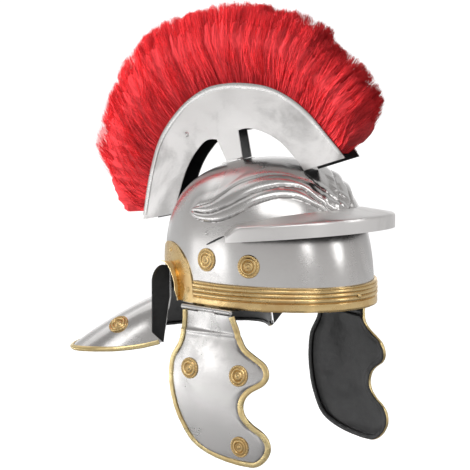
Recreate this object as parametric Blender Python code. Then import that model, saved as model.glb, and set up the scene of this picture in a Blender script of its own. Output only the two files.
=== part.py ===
"""Roman legionary helmet: steel shell, brass trim, hinged cheek guards and an upright hair crest.

Z is up, the face looks along -Y and the wearer's right side is at -X. The origin is the
middle of the head opening at the level of the lower rim. All lengths are in metres.
"""
import math

import bmesh
import bpy
import numpy as np
from mathutils import Vector

GAP = 0.0003

# shell
SHELL_T = 0.0014
BOWL_H = 0.155
BOWL_HALF_W = 0.0965
BOWL_FRONT = 0.116
BOWL_REAR = 0.142
NECK_REACH = 0.223
NECK_DROP = 0.060
NECK_HALF_W = 0.141
BROW_RELIEF = 0.0022

# ear opening and its guard
EAR_Y = 0.084
EAR_Z = 0.012
EAR_HALF_W = 0.021
EAR_HALF_H = 0.027
EAR_PLATE_W = 0.048
EAR_PLATE_H = 0.049
EAR_T = 0.0010
VISOR_X = 0.099
FIN_REACH = 0.0181
FIN_Y = 0.0886
FIN_TOP = 0.0370
EAR_BLEND_Z = 0.062

# brow band
BAND_H = 0.026
BAND_T = 0.0036

# brow guard
GUARD_HALF_W = 0.112
GUARD_REACH = 0.138
GUARD_Z = 0.0885
GUARD_TILT = 0.105
GUARD_FACE = 0.0150
GUARD_T = 0.0016
SHELF_RISE = 0.0045

# cheek guards
HINGE_X = 0.1060
HINGE_Z = -0.0016
HINGE_FRONT = -0.0315
HINGE_REAR = 0.0410
KNUCKLE_R = 0.0026
PIN_R = 0.0012
CHEEK_H = 0.1633
CHEEK_FOLD = 0.0235
CHEEK_TOE = 0.1625
CHEEK_BEND = 0.98
CHEEK_FLARE = 0.165
CHEEK_CURL = 1.35
CHEEK_TWIST = 0.98
CHEEK_D = 0.085
CHEEK_T = 0.0012
TRIM_W = 0.0036
TRIM_T = 0.0011

# rosettes and rivets
ROSE_R_BOWL = 0.0128
ROSE_R_CHEEK = 0.0116
ROSE_H = 0.0030
RIVET_R = 0.0026
RIVET_H = 0.0013

# crest
CREST_Y = 0.045
CREST_Z = 0.095
CREST_R = 0.167
CREST_HALF_GAP = 0.0112
CREST_T = 0.0010
PLUME_R = 0.247
PLUME_HALF_W = 0.030


def material(name, rgb, metallic, roughness):
    mat = bpy.data.materials.new(name)
    mat.use_nodes = True
    bsdf = mat.node_tree.nodes["Principled BSDF"]
    bsdf.inputs["Base Color"].default_value = (*rgb, 1.0)
    bsdf.inputs["Metallic"].default_value = metallic
    bsdf.inputs["Roughness"].default_value = roughness
    return mat


def make_object(name, verts, faces, mat, pivot=None, smooth=True):
    """Mesh object with outward faces; its origin is moved to pivot when one is given."""
    shift = np.array(pivot if pivot is not None else (0.0, 0.0, 0.0))
    mesh = bpy.data.meshes.new(name)
    mesh.from_pydata([tuple(np.array(v) - shift) for v in verts], [], faces)
    bm = bmesh.new()
    bm.from_mesh(mesh)
    bmesh.ops.remove_doubles(bm, verts=bm.verts, dist=1e-6)
    bmesh.ops.recalc_face_normals(bm, faces=bm.faces)
    if bm.calc_volume(signed=True) < 0:
        bmesh.ops.reverse_faces(bm, faces=bm.faces)
    bmesh.ops.triangulate(bm, faces=[f for f in bm.faces if len(f.verts) > 4])
    for face in bm.faces:
        face.smooth = smooth
    bm.to_mesh(mesh)
    bm.free()
    mesh.materials.append(mat)
    obj = bpy.data.objects.new(name, mesh)
    obj.location = Vector(shift)
    bpy.context.scene.collection.objects.link(obj)
    return obj


def boolean(obj, other, kind):
    mod = obj.modifiers.new(kind, "BOOLEAN")
    mod.operation = kind
    mod.solver = "EXACT"
    mod.object = other
    bpy.context.view_layer.update()
    graph = bpy.context.evaluated_depsgraph_get()
    mesh = bpy.data.meshes.new_from_object(obj.evaluated_get(graph))
    obj.modifiers.clear()
    old = obj.data
    obj.data = mesh
    mesh.name = old.name + "_m"
    bpy.data.meshes.remove(old)
    bpy.data.objects.remove(other)
    bm = bmesh.new()
    bm.from_mesh(mesh)
    bmesh.ops.remove_doubles(bm, verts=bm.verts, dist=2e-6)
    bmesh.ops.dissolve_degenerate(bm, edges=bm.edges, dist=2e-6)
    bmesh.ops.triangulate(bm, faces=[f for f in bm.faces if len(f.verts) > 4])
    bm.to_mesh(mesh)
    bm.free()
    return obj


def grid_normals(mid, wrap):
    """Unit normals of a grid of points, from the neighbours of each point."""
    rows = mid.shape[0]
    if wrap:
        along = np.roll(mid, -1, 1) - np.roll(mid, 1, 1)
    else:
        along = np.gradient(mid, axis=1)
    down = np.gradient(mid, axis=0) if rows > 1 else np.zeros_like(mid)
    n = np.cross(along, down)
    size = np.linalg.norm(n, axis=2, keepdims=True)
    return n / np.maximum(size, 1e-12)


def sheet(name, mid, thick, mat, wrap=False, mask=None, pole=None, normals=None, pivot=None):
    """Closed shell of even thickness round a grid of middle points.

    mask tells which cells exist, pole is a single point that closes row 0."""
    rows, cols = mid.shape[:2]
    n = grid_normals(mid, wrap) if normals is None else normals
    top, low = mid + n * thick / 2, mid - n * thick / 2
    verts = [tuple(p) for p in top.reshape(-1, 3)] + [tuple(p) for p in low.reshape(-1, 3)]
    half = rows * cols
    faces = []
    for r in range(rows - 1):
        for c in range(cols if wrap else cols - 1):
            if mask is not None and not mask[r][c]:
                continue
            d = (c + 1) % cols
            faces.append((r * cols + c, r * cols + d, (r + 1) * cols + d, (r + 1) * cols + c))
    if pole is not None:
        tip = len(verts)
        up = np.array([0.0, 0.0, thick / 2])
        verts += [tuple(np.array(pole) + up), tuple(np.array(pole) - up)]
        for c in range(cols):
            faces.append((tip, (c + 1) % cols, c))

    def other(i):
        return i + half if i < half else i + 1

    sides = []
    used = {(f[i], f[(i + 1) % len(f)]) for f in faces for i in range(len(f))}
    for a, b in used:
        if (b, a) not in used:
            sides.append((b, a, other(a), other(b)))
    back = [tuple(other(i) for i in reversed(f)) for f in faces]
    allf = faces + back + sides
    keep = sorted({i for f in allf for i in f})
    index = {v: k for k, v in enumerate(keep)}
    return make_object(name, [verts[i] for i in keep], [tuple(index[i] for i in f) for f in allf], mat, pivot)


def sweep(name, rings, mat, closed=False, pivot=None, smooth=True):
    """Solid through a row of equal rings of points, capped at both ends unless closed."""
    rings = [list(map(tuple, ring)) for ring in rings]
    k = len(rings[0])
    verts = [p for ring in rings for p in ring]
    faces = []
    count = len(rings)
    for i in range(count if closed else count - 1):
        j = (i + 1) % count
        for a in range(k):
            b = (a + 1) % k
            faces.append((i * k + a, i * k + b, j * k + b, j * k + a))
    if not closed:
        faces.append(tuple(reversed(range(k))))
        faces.append(tuple((count - 1) * k + a for a in range(k)))
    return make_object(name, verts, faces, mat, pivot, smooth)


def prism(name, outline, x0, x1, mat, pivot=None):
    """Flat plate: an outline of (y, z) points between two planes of x."""
    rings = [[(x, y, z) for y, z in outline] for x in (x0, x1)]
    return sweep(name, rings, mat, pivot=pivot, smooth=False)


def lathe(name, profile, centre, normal, mat, steps=12, pivot=None):
    """Turned solid: profile of (radius, height), both ends on the axis."""
    n = Vector(normal).normalized()
    u = n.orthogonal().normalized()
    v = n.cross(u)
    c = Vector(centre)
    verts, faces = [], []
    ring_of = []
    for r, h in profile:
        if r < 1e-9:
            ring_of.append([len(verts)])
            verts.append(tuple(c + n * h))
        else:
            ring = []
            for k in range(steps):
                a = 2 * math.pi * k / steps
                ring.append(len(verts))
                verts.append(tuple(c + n * h + (u * math.cos(a) + v * math.sin(a)) * r))
            ring_of.append(ring)
    for lo, hi in zip(ring_of[:-1], ring_of[1:]):
        for k in range(steps):
            m = (k + 1) % steps
            if len(lo) == 1:
                faces.append((lo[0], hi[k], hi[m]))
            elif len(hi) == 1:
                faces.append((lo[m], lo[k], hi[0]))
            else:
                faces.append((lo[k], hi[k], hi[m], lo[m]))
    return make_object(name, verts, faces, mat, pivot)


def smoothstep(a, b, x):
    t = min(max((x - a) / (b - a), 0.0), 1.0)
    return t * t * (3 - 2 * t)


def bowl_dims(z):
    """Half width, front reach and rear reach of the bowl's outline at height z."""
    u = min(max(z / BOWL_H, 0.0), 1.0)
    return (BOWL_HALF_W * (1 - u ** 4.2) ** (1 / 2.2),
            BOWL_FRONT * (1 - u ** 2.4) ** (1 / 2.2),
            BOWL_REAR * (1 - u ** 3.6) ** 0.5)


def bowl_point(t, z, out=0.0):
    """Point of the bowl's outer face: t runs from 0 in front by 90 at the wearer's right."""
    b, f, r = bowl_dims(z)
    c, a = (r - f) / 2, (r + f) / 2
    s, k = math.sin(math.radians(t)), math.cos(math.radians(t))
    n = np.array([-s / max(b, 1e-6), -k / max(a, 1e-6), 0.0])
    n /= np.linalg.norm(n)
    return np.array([-b * s, c - a * k, z]) + n * out


def bowl_x(y, z, out=0.0):
    """Half width of the bowl's outer face at a place y, z on its side."""
    b, f, r = bowl_dims(z)
    c, a = (r - f) / 2, (r + f) / 2
    return b * math.sqrt(max(1 - ((y - c) / a) ** 2, 0.0)) + out


def bowl_z(x, y, out=0.0):
    """Height of the bowl's outer face over a place x, y."""
    lo, hi = 0.0, BOWL_H
    for _ in range(40):
        z = (lo + hi) / 2
        b, f, r = bowl_dims(z)
        c, a = (r - f) / 2, (r + f) / 2
        inside = b > 0 and a > 0 and (x / b) ** 2 + ((y - c) / a) ** 2 < 1
        lo, hi = (z, hi) if inside else (lo, z)
    return lo + out


def side_normal(y, z, side):
    d = 0.002
    p = [np.array([side * bowl_x(y + a, z + b), y + a, z + b]) for a, b in ((-d, 0), (d, 0), (0, -d), (0, d))]
    n = np.cross(p[1] - p[0], p[3] - p[2])
    n /= np.linalg.norm(n)
    return n if n[0] * side > 0 else -n


# eyebrow lines: angle round the bowl and height as a share of BOWL_H
BROW_TOP = [(0, 0.735), (10, 0.82), (16, 0.865), (26, 0.89), (36, 0.91), (54, 0.91), (67, 0.884),
            (77, 0.845), (84, 0.781), (91, 0.723), (100, 0.69), (107, 0.665)]
BROW_LOW = [(0, 0.575), (6, 0.59), (13, 0.632), (18, 0.697), (24, 0.735), (32, 0.768), (40, 0.774), (48, 0.768),
            (60, 0.729), (71, 0.658), (81, 0.606), (89, 0.594), (98, 0.60), (107, 0.632)]


def table_at(table, x):
    for (x0, y0), (x1, y1) in zip(table[:-1], table[1:]):
        if x0 <= x <= x1:
            return y0 + (y1 - y0) * (x - x0) / (x1 - x0)
    return None


def brow_height(t, z):
    t = abs((t + 180.0) % 360.0 - 180.0)
    top, low = table_at(BROW_TOP, t), table_at(BROW_LOW, t)
    if top is None or low is None:
        return 0.0
    u = (z / BOWL_H - low) / max(top - low, 0.02)
    return BROW_RELIEF * smoothstep(-0.18, 0.12, u) * (1 - smoothstep(0.8, 1.25, u))


# neck guard edge from the ear fin to the middle of the back, as shares of
# the half width, the reach and the drop
NECK_EDGE = [(0.625, 0.399, 0.82), (0.745, 0.484, 0.92), (0.879, 0.574, 0.97), (0.985, 0.682, 0.985),
             (1.0, 0.789, 1.0), (0.908, 0.874, 1.01), (0.738, 0.933, 1.01), (0.525, 0.969, 1.0),
             (0.27, 0.991, 0.985), (0.0, 1.0, 0.97)]
NECK_ROWS = 5

EAR_FRONT_T = 112.5
EAR_BACK_T = 125.2


def ear_arch(y):
    """Height of the ear opening's upper edge at a place y."""
    u = (y - EAR_Y) / EAR_HALF_W
    return EAR_Z + EAR_HALF_H * math.sqrt(max(1 - u * u, 0.0))


def shell_columns():
    front = [0, 8, 16, 24, 32, 40, 49, 58, 67, 76, 86, 96, 104, 111.0]
    ear = [111.9, 114.0, 117.5, 121.5, 125.2]
    back = [125.7, 131, 137, 143, 149, 155, 161, 167, 173.5]
    half = [(t, "front") for t in front] + [(t, "ear") for t in ear] + [(t, "back") for t in back]
    other = [(360 - t, kind) for t, kind in half[1:]]
    return half + [(180, "back")] + list(reversed(other))


HEIGHTS = (0.992, 0.965, 0.925, 0.88, 0.83, 0.775, 0.715, 0.655, 0.59, 0.50, 0.38, 0.24, 0.12, 0.0)


def shell_grid(out):
    cols = shell_columns()
    rows = len(HEIGHTS)
    grid = np.zeros((rows + NECK_ROWS, len(cols), 3))
    mask = np.zeros((rows + NECK_ROWS - 1, len(cols)), bool)
    back_t = [t for t, kind in cols if kind == "back" and t <= 180]
    first = sum(share * BOWL_H >= EAR_BLEND_Z for share in HEIGHTS)
    for j, (t, kind) in enumerate(cols):
        sign = 1 if t <= 180 else -1
        th = round(t if t <= 180 else 360 - t, 3)
        low = 0.0
        if kind == "ear":
            low = ear_arch(bowl_point(th, 0.02)[1])
        for i, share in enumerate(HEIGHTS):
            z = share * BOWL_H
            if low and z < EAR_BLEND_Z:
                z = EAR_BLEND_Z + (low - EAR_BLEND_Z) * (i - first + 1) / (rows - first)
            p = bowl_point(th, z, out)
            h = brow_height(th, z)
            if h:
                q = bowl_point(th, z - 0.002), bowl_point(th, z + 0.002), bowl_point(th + 1, z), bowl_point(th - 1, z)
                n = np.cross(q[1] - q[0], q[3] - q[2])
                n /= np.linalg.norm(n)
                n *= -1 if np.dot(n, p - np.array([0, 0.01, 0.03])) < 0 else 1
                p = p + n * h
            grid[i, j] = p * (sign, 1, 1)
        base = grid[rows - 1, j] * (sign, 1, 1)
        if kind == "back":
            k = back_t.index(th)
            ex, ey, ez = NECK_EDGE[k]
            edge = np.array([-ex * NECK_HALF_W, ey * NECK_REACH, -ez * NECK_DROP])
            rise = 0.010 * smoothstep(0, 3, k)
            ctrl = (base + edge) / 2 + np.array([0, 0, rise])
        else:
            edge = ctrl = base
        for m in range(NECK_ROWS):
            v = (m + 1) / NECK_ROWS
            p = base * (1 - v) ** 2 + ctrl * 2 * v * (1 - v) + edge * v * v
            grid[rows + m, j] = p * (sign, 1, 1)
    for j in range(len(cols)):
        d = (j + 1) % len(cols)
        for i in range(rows + NECK_ROWS - 1):
            mask[i, j] = i < rows - 1 or (cols[j][1] == "back" and cols[d][1] == "back")
    return grid, mask


def build_shell(steel):
    grid, mask = shell_grid(-SHELL_T / 2)
    n = grid_normals(grid, True)
    last = len(HEIGHTS) - 1
    kinds = [kind for _, kind in shell_columns()]
    for j, kind in enumerate(kinds):
        if kind != "back":
            n[last:, j] = n[last - 1, j]
        elif kinds[j - 1] != "back":
            n[last - 3:, j] = n[last - 3:, j + 1]
        elif kinds[(j + 1) % len(kinds)] != "back":
            n[last - 3:, j] = n[last - 3:, j - 1]
    shell = sheet("shell", grid, SHELL_T, steel, wrap=True, mask=mask,
                  pole=(0, 0.003, BOWL_H - SHELL_T / 2), normals=n)
    return shell


def build_ear_fin(side, tag, steel):
    """Upright flange behind the ear, from the ear opening's top down to the neck guard's corner."""
    low_z = NECK_EDGE[0][2] * NECK_DROP
    foot_x = NECK_EDGE[0][0] * NECK_HALF_W
    base_x = bowl_x(FIN_Y, 0.0)
    line = []
    for k in range(7):
        z = FIN_TOP - 0.0015 - (FIN_TOP - 0.0015) * k / 6
        line.append((bowl_x(FIN_Y - 0.0014, z, 0.0005), z))
    for k in range(1, 6):
        v = k / 5
        line.append((base_x + (foot_x - base_x) * v + 0.0016, -low_z * v))
    fin_x = foot_x + FIN_REACH
    line.append((fin_x, -0.61 * NECK_DROP))
    for k in range(7):
        a = math.radians(90 * k / 6)
        line.append((fin_x - 0.016 * (1 - math.cos(a)), 0.019 + (FIN_TOP - 0.019) * math.sin(a)))
    rings = [[(side * x, y, z) for x, z in line] for y in (FIN_Y - 0.0014, FIN_Y)]
    return sweep("ear_fin_" + tag, rings, steel, smooth=False)


def rim_path():
    """The neck guard's edge from the wearer's right corner to the left one, with inward directions."""
    grid, _ = shell_grid(-SHELL_T / 2)
    cols = [j for j, (t, kind) in enumerate(shell_columns()) if kind == "back"]
    last = [grid[-1, j] for j in cols]
    prev = [grid[-2, j] for j in cols]
    return last, prev


def u_trim(name, edge, inward, normal, mat, half_slot, pivot=None):
    """Bent strip that grips a plate's edge."""
    rings = []
    for e, i, n in zip(edge, inward, normal):
        i = np.array(i) / np.linalg.norm(i)
        n = np.array(n) / np.linalg.norm(n)
        pts = [(-0.0016, -half_slot - TRIM_T * 0.8), (-0.0016, half_slot + TRIM_T * 0.8),
               (TRIM_W, half_slot + TRIM_T), (TRIM_W, half_slot), (-0.0007, half_slot),
               (-0.0007, -half_slot), (TRIM_W, -half_slot), (TRIM_W, -half_slot - TRIM_T)]
        rings.append([np.array(e) + i * a + n * b for a, b in pts])
    return sweep(name, rings, mat, pivot=pivot)


def build_neck_trim(brass):
    last, prev = rim_path()
    edge, inward, normal = [], [], []
    for k, (p, q) in enumerate(zip(last, prev)):
        a, b = last[max(k - 1, 0)], last[min(k + 1, len(last) - 1)]
        tangent = (b - a) / np.linalg.norm(b - a)
        i = q - p
        i -= tangent * np.dot(i, tangent)
        i /= np.linalg.norm(i)
        edge.append(p)
        inward.append(i)
        normal.append(np.cross(tangent, i))
    edge[0] = edge[0] + (edge[1] - edge[0]) * 0.16
    edge[-1] = edge[-1] + (edge[-2] - edge[-1]) * 0.16
    return u_trim("neck_trim", edge, inward, normal, brass, SHELL_T / 2 + 2.3 * GAP)


def build_band(brass):
    """Ribbed brow band round the front from ear guard to ear guard."""
    # height share, outward share
    shape = [(0.02, 0.0), (0.0, 0.35), (0.02, 0.62), (0.30, 0.62), (0.35, 0.34), (0.40, 0.86), (0.50, 0.98),
             (0.57, 0.66), (0.66, 1.0), (0.75, 0.66), (0.86, 0.95), (0.97, 0.80), (1.0, 0.0)]
    rings = []
    right = [t for t, kind in shell_columns() if t <= 96] + [98.4]
    for t in [-t for t in reversed(right[1:])] + right:
        rings.append([bowl_point(t, h * BAND_H, GAP + 0.0002 + o * BAND_T) for h, o in shape])
    return sweep("brow_band", rings, brass)


def build_ear_guard(name, side, brass):
    """Plate round the ear opening with a lip that stands out over it."""
    lip_end = 96.0
    angles = [-14, -4, 8, 20, 32, 44, 56, 68, 80, 92, 104, 115, 126, 137]
    rows = 6
    mid = np.zeros((rows, len(angles), 3))
    mask = np.ones((rows - 1, len(angles) - 1), bool)
    nrm = np.zeros_like(mid)
    for j, a in enumerate(angles):
        c, s = math.cos(math.radians(a)), math.sin(math.radians(a))
        ring = []
        for share in (1.0, 0.62, 0.12, 0.0):
            w = EAR_HALF_W + 0.0012 + (EAR_PLATE_W - EAR_HALF_W) * share
            h = EAR_HALF_H + 0.0012 + (EAR_PLATE_H - EAR_HALF_H) * share
            y, z = EAR_Y - w * c, EAR_Z + h * s
            if a < 0:
                y = EAR_Y - w * (1 + 0.02 * share)
                z = EAR_Z - 0.0112 * (-a / 14)
            ring.append((y, z))
        for i, (y, z) in enumerate(ring):
            n = side_normal(y, z, side)
            out = GAP + 0.0001 + EAR_T / 2
            mid[i, j] = np.array([side * bowl_x(y, z), y, z]) + n * out
            nrm[i, j] = n
        hole = np.array([0.0, -c if a >= 0 else -1.0, s if a >= 0 else 0.0])
        nrm[3, j] = (nrm[3, j] + hole) / np.linalg.norm(nrm[3, j] + hole) * 1.3
        y, z = ring[3]
        lip = VISOR_X - 0.004 * smoothstep(30, 96, a)
        base = bowl_x(y, z) + 0.001
        for i, u in ((4, 0.35), (5, 1.0)):
            mid[i, j] = (side * (base + (lip - base) * u), y, z)
            nrm[i, j] = hole
        if j < len(angles) - 1 and angles[j + 1] > lip_end:
            mask[3:, j] = False
    return sheet(name, mid, EAR_T, brass, mask=mask, normals=nrm)


def guard_z(y):
    return GUARD_Z - GUARD_TILT * (y + 0.028)


def build_brow_guard(steel):
    """Angled bar over the brow: shelf on top, face hanging from its outer edge, and side tabs."""
    n = 25
    lim = 78.5
    rows = 4
    mid = np.zeros((rows, n, 3))
    for j in range(n):
        t = math.radians(-lim + 2 * lim * j / (n - 1))
        outer = np.array([-GUARD_HALF_W * math.sin(t), -GUARD_REACH * math.cos(t), 0.0])
        z = guard_z(outer[1])
        deg = math.degrees(t)
        rise = 0.0002 + SHELF_RISE * smoothstep(0.2, 0.9, math.cos(t))
        clear = 0.0004 + 0.0008 * smoothstep(-72, -60, -abs(deg)) + brow_height(deg, z + rise)
        inner = bowl_point(deg, z + rise, GAP + GUARD_T / 2 + clear)
        mid[0, j] = inner
        bend = np.array([outer[0], outer[1], z])
        mid[1, j] = bend * 0.93 + inner * 0.07
        mid[2, j] = bend + np.array([0, 0, -0.0016])
        mid[3, j] = bend + np.array([0, 0, -GUARD_FACE])
    guard = sheet("brow_guard", mid, GUARD_T, steel)
    for side in (-1, 1):
        cols = 9
        tab = np.zeros((2, cols, 3))
        nrm = np.zeros_like(tab)
        for j in range(cols):
            u = j / (cols - 1)
            y = -0.034 + 0.058 * u
            zc = guard_z(1.27 * min(y, -0.008) - 0.016) + 0.0004 - 0.006 * u * u
            h = 0.0125 * (1 - 0.45 * u) if j < cols - 1 else 0.004
            for i, z in enumerate((zc, zc - h)):
                nn = side_normal(y, z, side)
                tab[i, j] = np.array([side * bowl_x(y, z), y, z]) + nn * (GAP + GUARD_T / 2)
                nrm[i, j] = nn
        extra = sheet("tab", tab, GUARD_T * 0.9, steel, normals=nrm)
        boolean(guard, extra, "UNION")
    return guard


# cheek guard outline: height below the hinge as a share of CHEEK_H, then the front and
# rear edges as shares of CHEEK_D
CHEEK_OUTLINE = [(0.030, -0.414, 0.434), (0.080, -0.437, 0.425), (0.140, -0.443, 0.420), (0.190, -0.477, 0.432),
                 (0.235, -0.537, 0.465), (0.275, -0.666, 0.512), (0.315, -0.804, 0.561), (0.360, -0.862, 0.599),
                 (0.410, -0.860, 0.613), (0.455, -0.804, 0.619), (0.500, -0.656, 0.620), (0.550, -0.562, 0.611),
                 (0.600, -0.531, 0.593), (0.640, -0.535, 0.574), (0.680, -0.576, 0.553), (0.725, -0.675, 0.518),
                 (0.770, -0.828, 0.473), (0.820, -0.905, 0.415), (0.870, -0.914, 0.343), (0.915, -0.877, 0.232),
                 (0.955, -0.814, 0.046), (0.985, -0.726, -0.206), (1.000, -0.649, -0.470)]


def cheek_x(y, depth):
    """Half distance between the cheek guards at a place y, depth below the hinge."""
    below = max(depth - CHEEK_FOLD, 0.0)
    turn = (CHEEK_TOE * y - CHEEK_BEND * y * y) * smoothstep(0.0, 1.4 * CHEEK_FOLD, depth)
    return HINGE_X + turn + below * (CHEEK_FLARE - CHEEK_CURL * below - CHEEK_TWIST * y)


def cheek_rows():
    rows = []
    for s, f, r in CHEEK_OUTLINE:
        rows.append((s * CHEEK_H, f * CHEEK_D, r * CHEEK_D))
    return rows


def build_cheek(side, tag, steel, brass, dark):
    pivot = (side * HINGE_X, 0.0, HINGE_Z)
    rows = cheek_rows()
    cols = 6
    mid = np.zeros((len(rows), cols, 3))
    for i, (d, f, r) in enumerate(rows):
        for j in range(cols):
            y = f + (r - f) * j / (cols - 1)
            mid[i, j] = (side * cheek_x(y, d), y, HINGE_Z - d)
    guard = sheet("cheek_guard_" + tag, mid, CHEEK_T, steel, pivot=pivot)
    third = (HINGE_REAR - HINGE_FRONT) / 3
    y0, y1 = HINGE_FRONT + third + GAP, HINGE_REAR - third - GAP
    knuckle = hinge_piece("knuckle", side, [(y0, y1)], [(0.0, -0.0016), (0.0, -0.0085)], steel, 0.0011, pivot)
    boolean(guard, knuckle, "UNION")
    # trim along the edge, from the front of the fold round the bottom to the rear
    path = [(r, d) for d, f, r in rows[3:]] + [(f, d) for d, f, r in reversed(rows[3:])]
    edge, inward, normal = [], [], []
    for k, (y, d) in enumerate(path):
        ya, da = path[max(k - 1, 0)]
        yb, db = path[min(k + 1, len(path) - 1)]
        p = np.array([side * cheek_x(y, d), y, HINGE_Z - d])
        t = np.array([side * (cheek_x(yb, db) - cheek_x(ya, da)), yb - ya, -(db - da)])
        t /= np.linalg.norm(t)
        e = 0.001
        n = np.cross([side * (cheek_x(y + e, d) - cheek_x(y - e, d)), 2 * e, 0],
                     [side * (cheek_x(y, d + e) - cheek_x(y, d - e)), 0, -2 * e])
        n /= np.linalg.norm(n)
        i = np.cross(n, t)
        centre = np.array([p[0], -0.010, HINGE_Z - 0.095])
        if k == 0:
            flip = 1 if np.dot(i, centre - p) > 0 else -1
        edge.append(p)
        inward.append(i * flip)
        normal.append(n)
    trim = u_trim("cheek_trim_" + tag, edge, inward, normal, brass, CHEEK_T / 2 + GAP + 0.0004, pivot=pivot)
    made = [guard, trim]
    for k, (y, z) in enumerate(((0.0228, -0.0664), (-0.0413, -0.0680), (-0.0421, -0.1448)), 1):
        d = HINGE_Z - z
        e = 0.002
        n = np.cross([side * (cheek_x(y + e, d) - cheek_x(y - e, d)), 2 * e, 0],
                     [side * (cheek_x(y, d + e) - cheek_x(y, d - e)), 0, -2 * e])
        n = n / np.linalg.norm(n)
        n = n if n[0] * side > 0 else -n
        p = np.array([side * cheek_x(y, d), y, z]) + n * (CHEEK_T / 2 + GAP + 0.0001)
        made.append(rosette("rosette_cheek_%s_%d" % (tag, k), p, n, ROSE_R_CHEEK, brass, pivot))
    return made


def hinge_piece(name, side, spans, web, mat, thick, pivot=None):
    """Knuckles round the pin with a strip; web is a line of (inward, z) offsets from the axis."""
    cx, cz = side * HINGE_X, HINGE_Z
    piece = None
    for y0, y1 in spans:
        ring = []
        for k in range(14):
            a = 2 * math.pi * k / 14
            ring.append((cx + KNUCKLE_R * math.cos(a), cz + KNUCKLE_R * math.sin(a)))
        tube = sweep(name, [[(x, y, z) for x, z in ring] for y in (y0, y1)], mat, pivot=pivot)
        pts = []
        half = thick / 2
        line = [np.array([cx - side * a, cz + b]) for a, b in web]
        left, right = [], []
        for k, p in enumerate(line):
            t = line[min(k + 1, len(line) - 1)] - line[max(k - 1, 0)]
            t = t / np.linalg.norm(t)
            m = np.array([-t[1], t[0]])
            scale = 1.0
            if 0 < k < len(line) - 1:
                t1 = line[k] - line[k - 1]
                t1 = t1 / np.linalg.norm(t1)
                scale = 1 / max(np.dot(m, np.array([-t1[1], t1[0]])), 0.5)
            left.append(p + m * half * scale)
            right.append(p - m * half * scale)
        pts = left + right[::-1]
        strip = sweep("strip", [[(x, y, z) for x, z in pts] for y in (y0, y1)], mat, pivot=pivot, smooth=False)
        boolean(tube, strip, "UNION")
        if piece is None:
            piece = tube
        else:
            boolean(piece, tube, "UNION")
    bore = []
    for k in range(14):
        a = 2 * math.pi * k / 14
        bore.append((cx + (PIN_R + 0.0001) * math.cos(a), cz + (PIN_R + 0.0001) * math.sin(a)))
    tool = sweep("bore", [[(x, y, z) for x, z in bore] for y in (HINGE_FRONT - 0.01, HINGE_REAR + 0.01)], mat)
    boolean(piece, tool, "DIFFERENCE")
    return piece


def build_hinge_fixed(side, tag, steel):
    """Leaf inside the rim whose two knuckles hold the pin, and the pin itself."""
    third = (HINGE_REAR - HINGE_FRONT) / 3
    spans = [(HINGE_FRONT, HINGE_FRONT + third), (HINGE_REAR - third, HINGE_REAR)]
    made = []
    for k, span in enumerate(spans, 1):
        off = HINGE_X - (min(bowl_x(span[0], 0.0), bowl_x(span[1], 0.0)) - SHELL_T - GAP - 0.0010)
        web = [(0.0012, 0.0007), (off, 0.0007), (off, 0.0135)]
        made.append(hinge_piece("hinge_leaf_%s_%d" % (tag, k), side, [span], web, steel, 0.0010))
    rings = []
    for y in (HINGE_FRONT + 0.0004, HINGE_REAR - 0.0004):
        rings.append([(side * HINGE_X + PIN_R * math.cos(2 * math.pi * k / 14), y,
                       HINGE_Z + PIN_R * math.sin(2 * math.pi * k / 14)) for k in range(14)])
    made.append(sweep("hinge_pin_" + tag, rings, steel))
    return made


def rosette(name, p, n, radius, mat, pivot=None):
    prof = [(0.0, 0.0), (1.0, 0.0), (0.92, 0.70), (0.64, 0.42), (0.40, 0.80), (0.0, 1.0)]
    return lathe(name, [(r * radius, h * ROSE_H) for r, h in prof], p, n, mat, 12, pivot)


def rivet(name, p, n, mat, scale=1.0, pivot=None):
    prof = [(0.0, 0.0), (1.0, 0.0), (0.72, 0.72), (0.0, 1.0)]
    return lathe(name, [(r * RIVET_R * scale, h * RIVET_H * scale) for r, h in prof], p, n, mat, 8, pivot)


# crest plate edges in polar form round the crest's centre: degrees from the back, share of CREST_R
CREST_OUTER = [(-9, 0.935), (0, 0.898), (14, 0.871), (30, 0.866), (44, 0.852), (60, 0.845), (70, 0.842), (82, 0.832),
               (95, 0.835), (107, 0.855), (119, 0.875), (132, 0.900), (145, 0.934), (156.4, 1.0)]
CREST_FRONT_WINDOW = [(152.5, 0.640), (147.8, 0.630), (139.4, 0.607), (127.6, 0.589), (112.5, 0.564),
                      (95.7, 0.541), (88, 0.521)]
CREST_REAR_WINDOW = [(64.4, 0.498), (54.5, 0.537), (42.3, 0.543), (29.4, 0.550), (14.2, 0.562), (2.9, 0.587),
                     (-7.5, 0.640)]
LEG_FRONT_Y = 0.042
LEG_REAR_Y = 0.066


def crest_point(deg, share, size=CREST_R):
    a = math.radians(deg)
    return CREST_Y + math.cos(a) * share * size, CREST_Z + math.sin(a) * share * size


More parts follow.
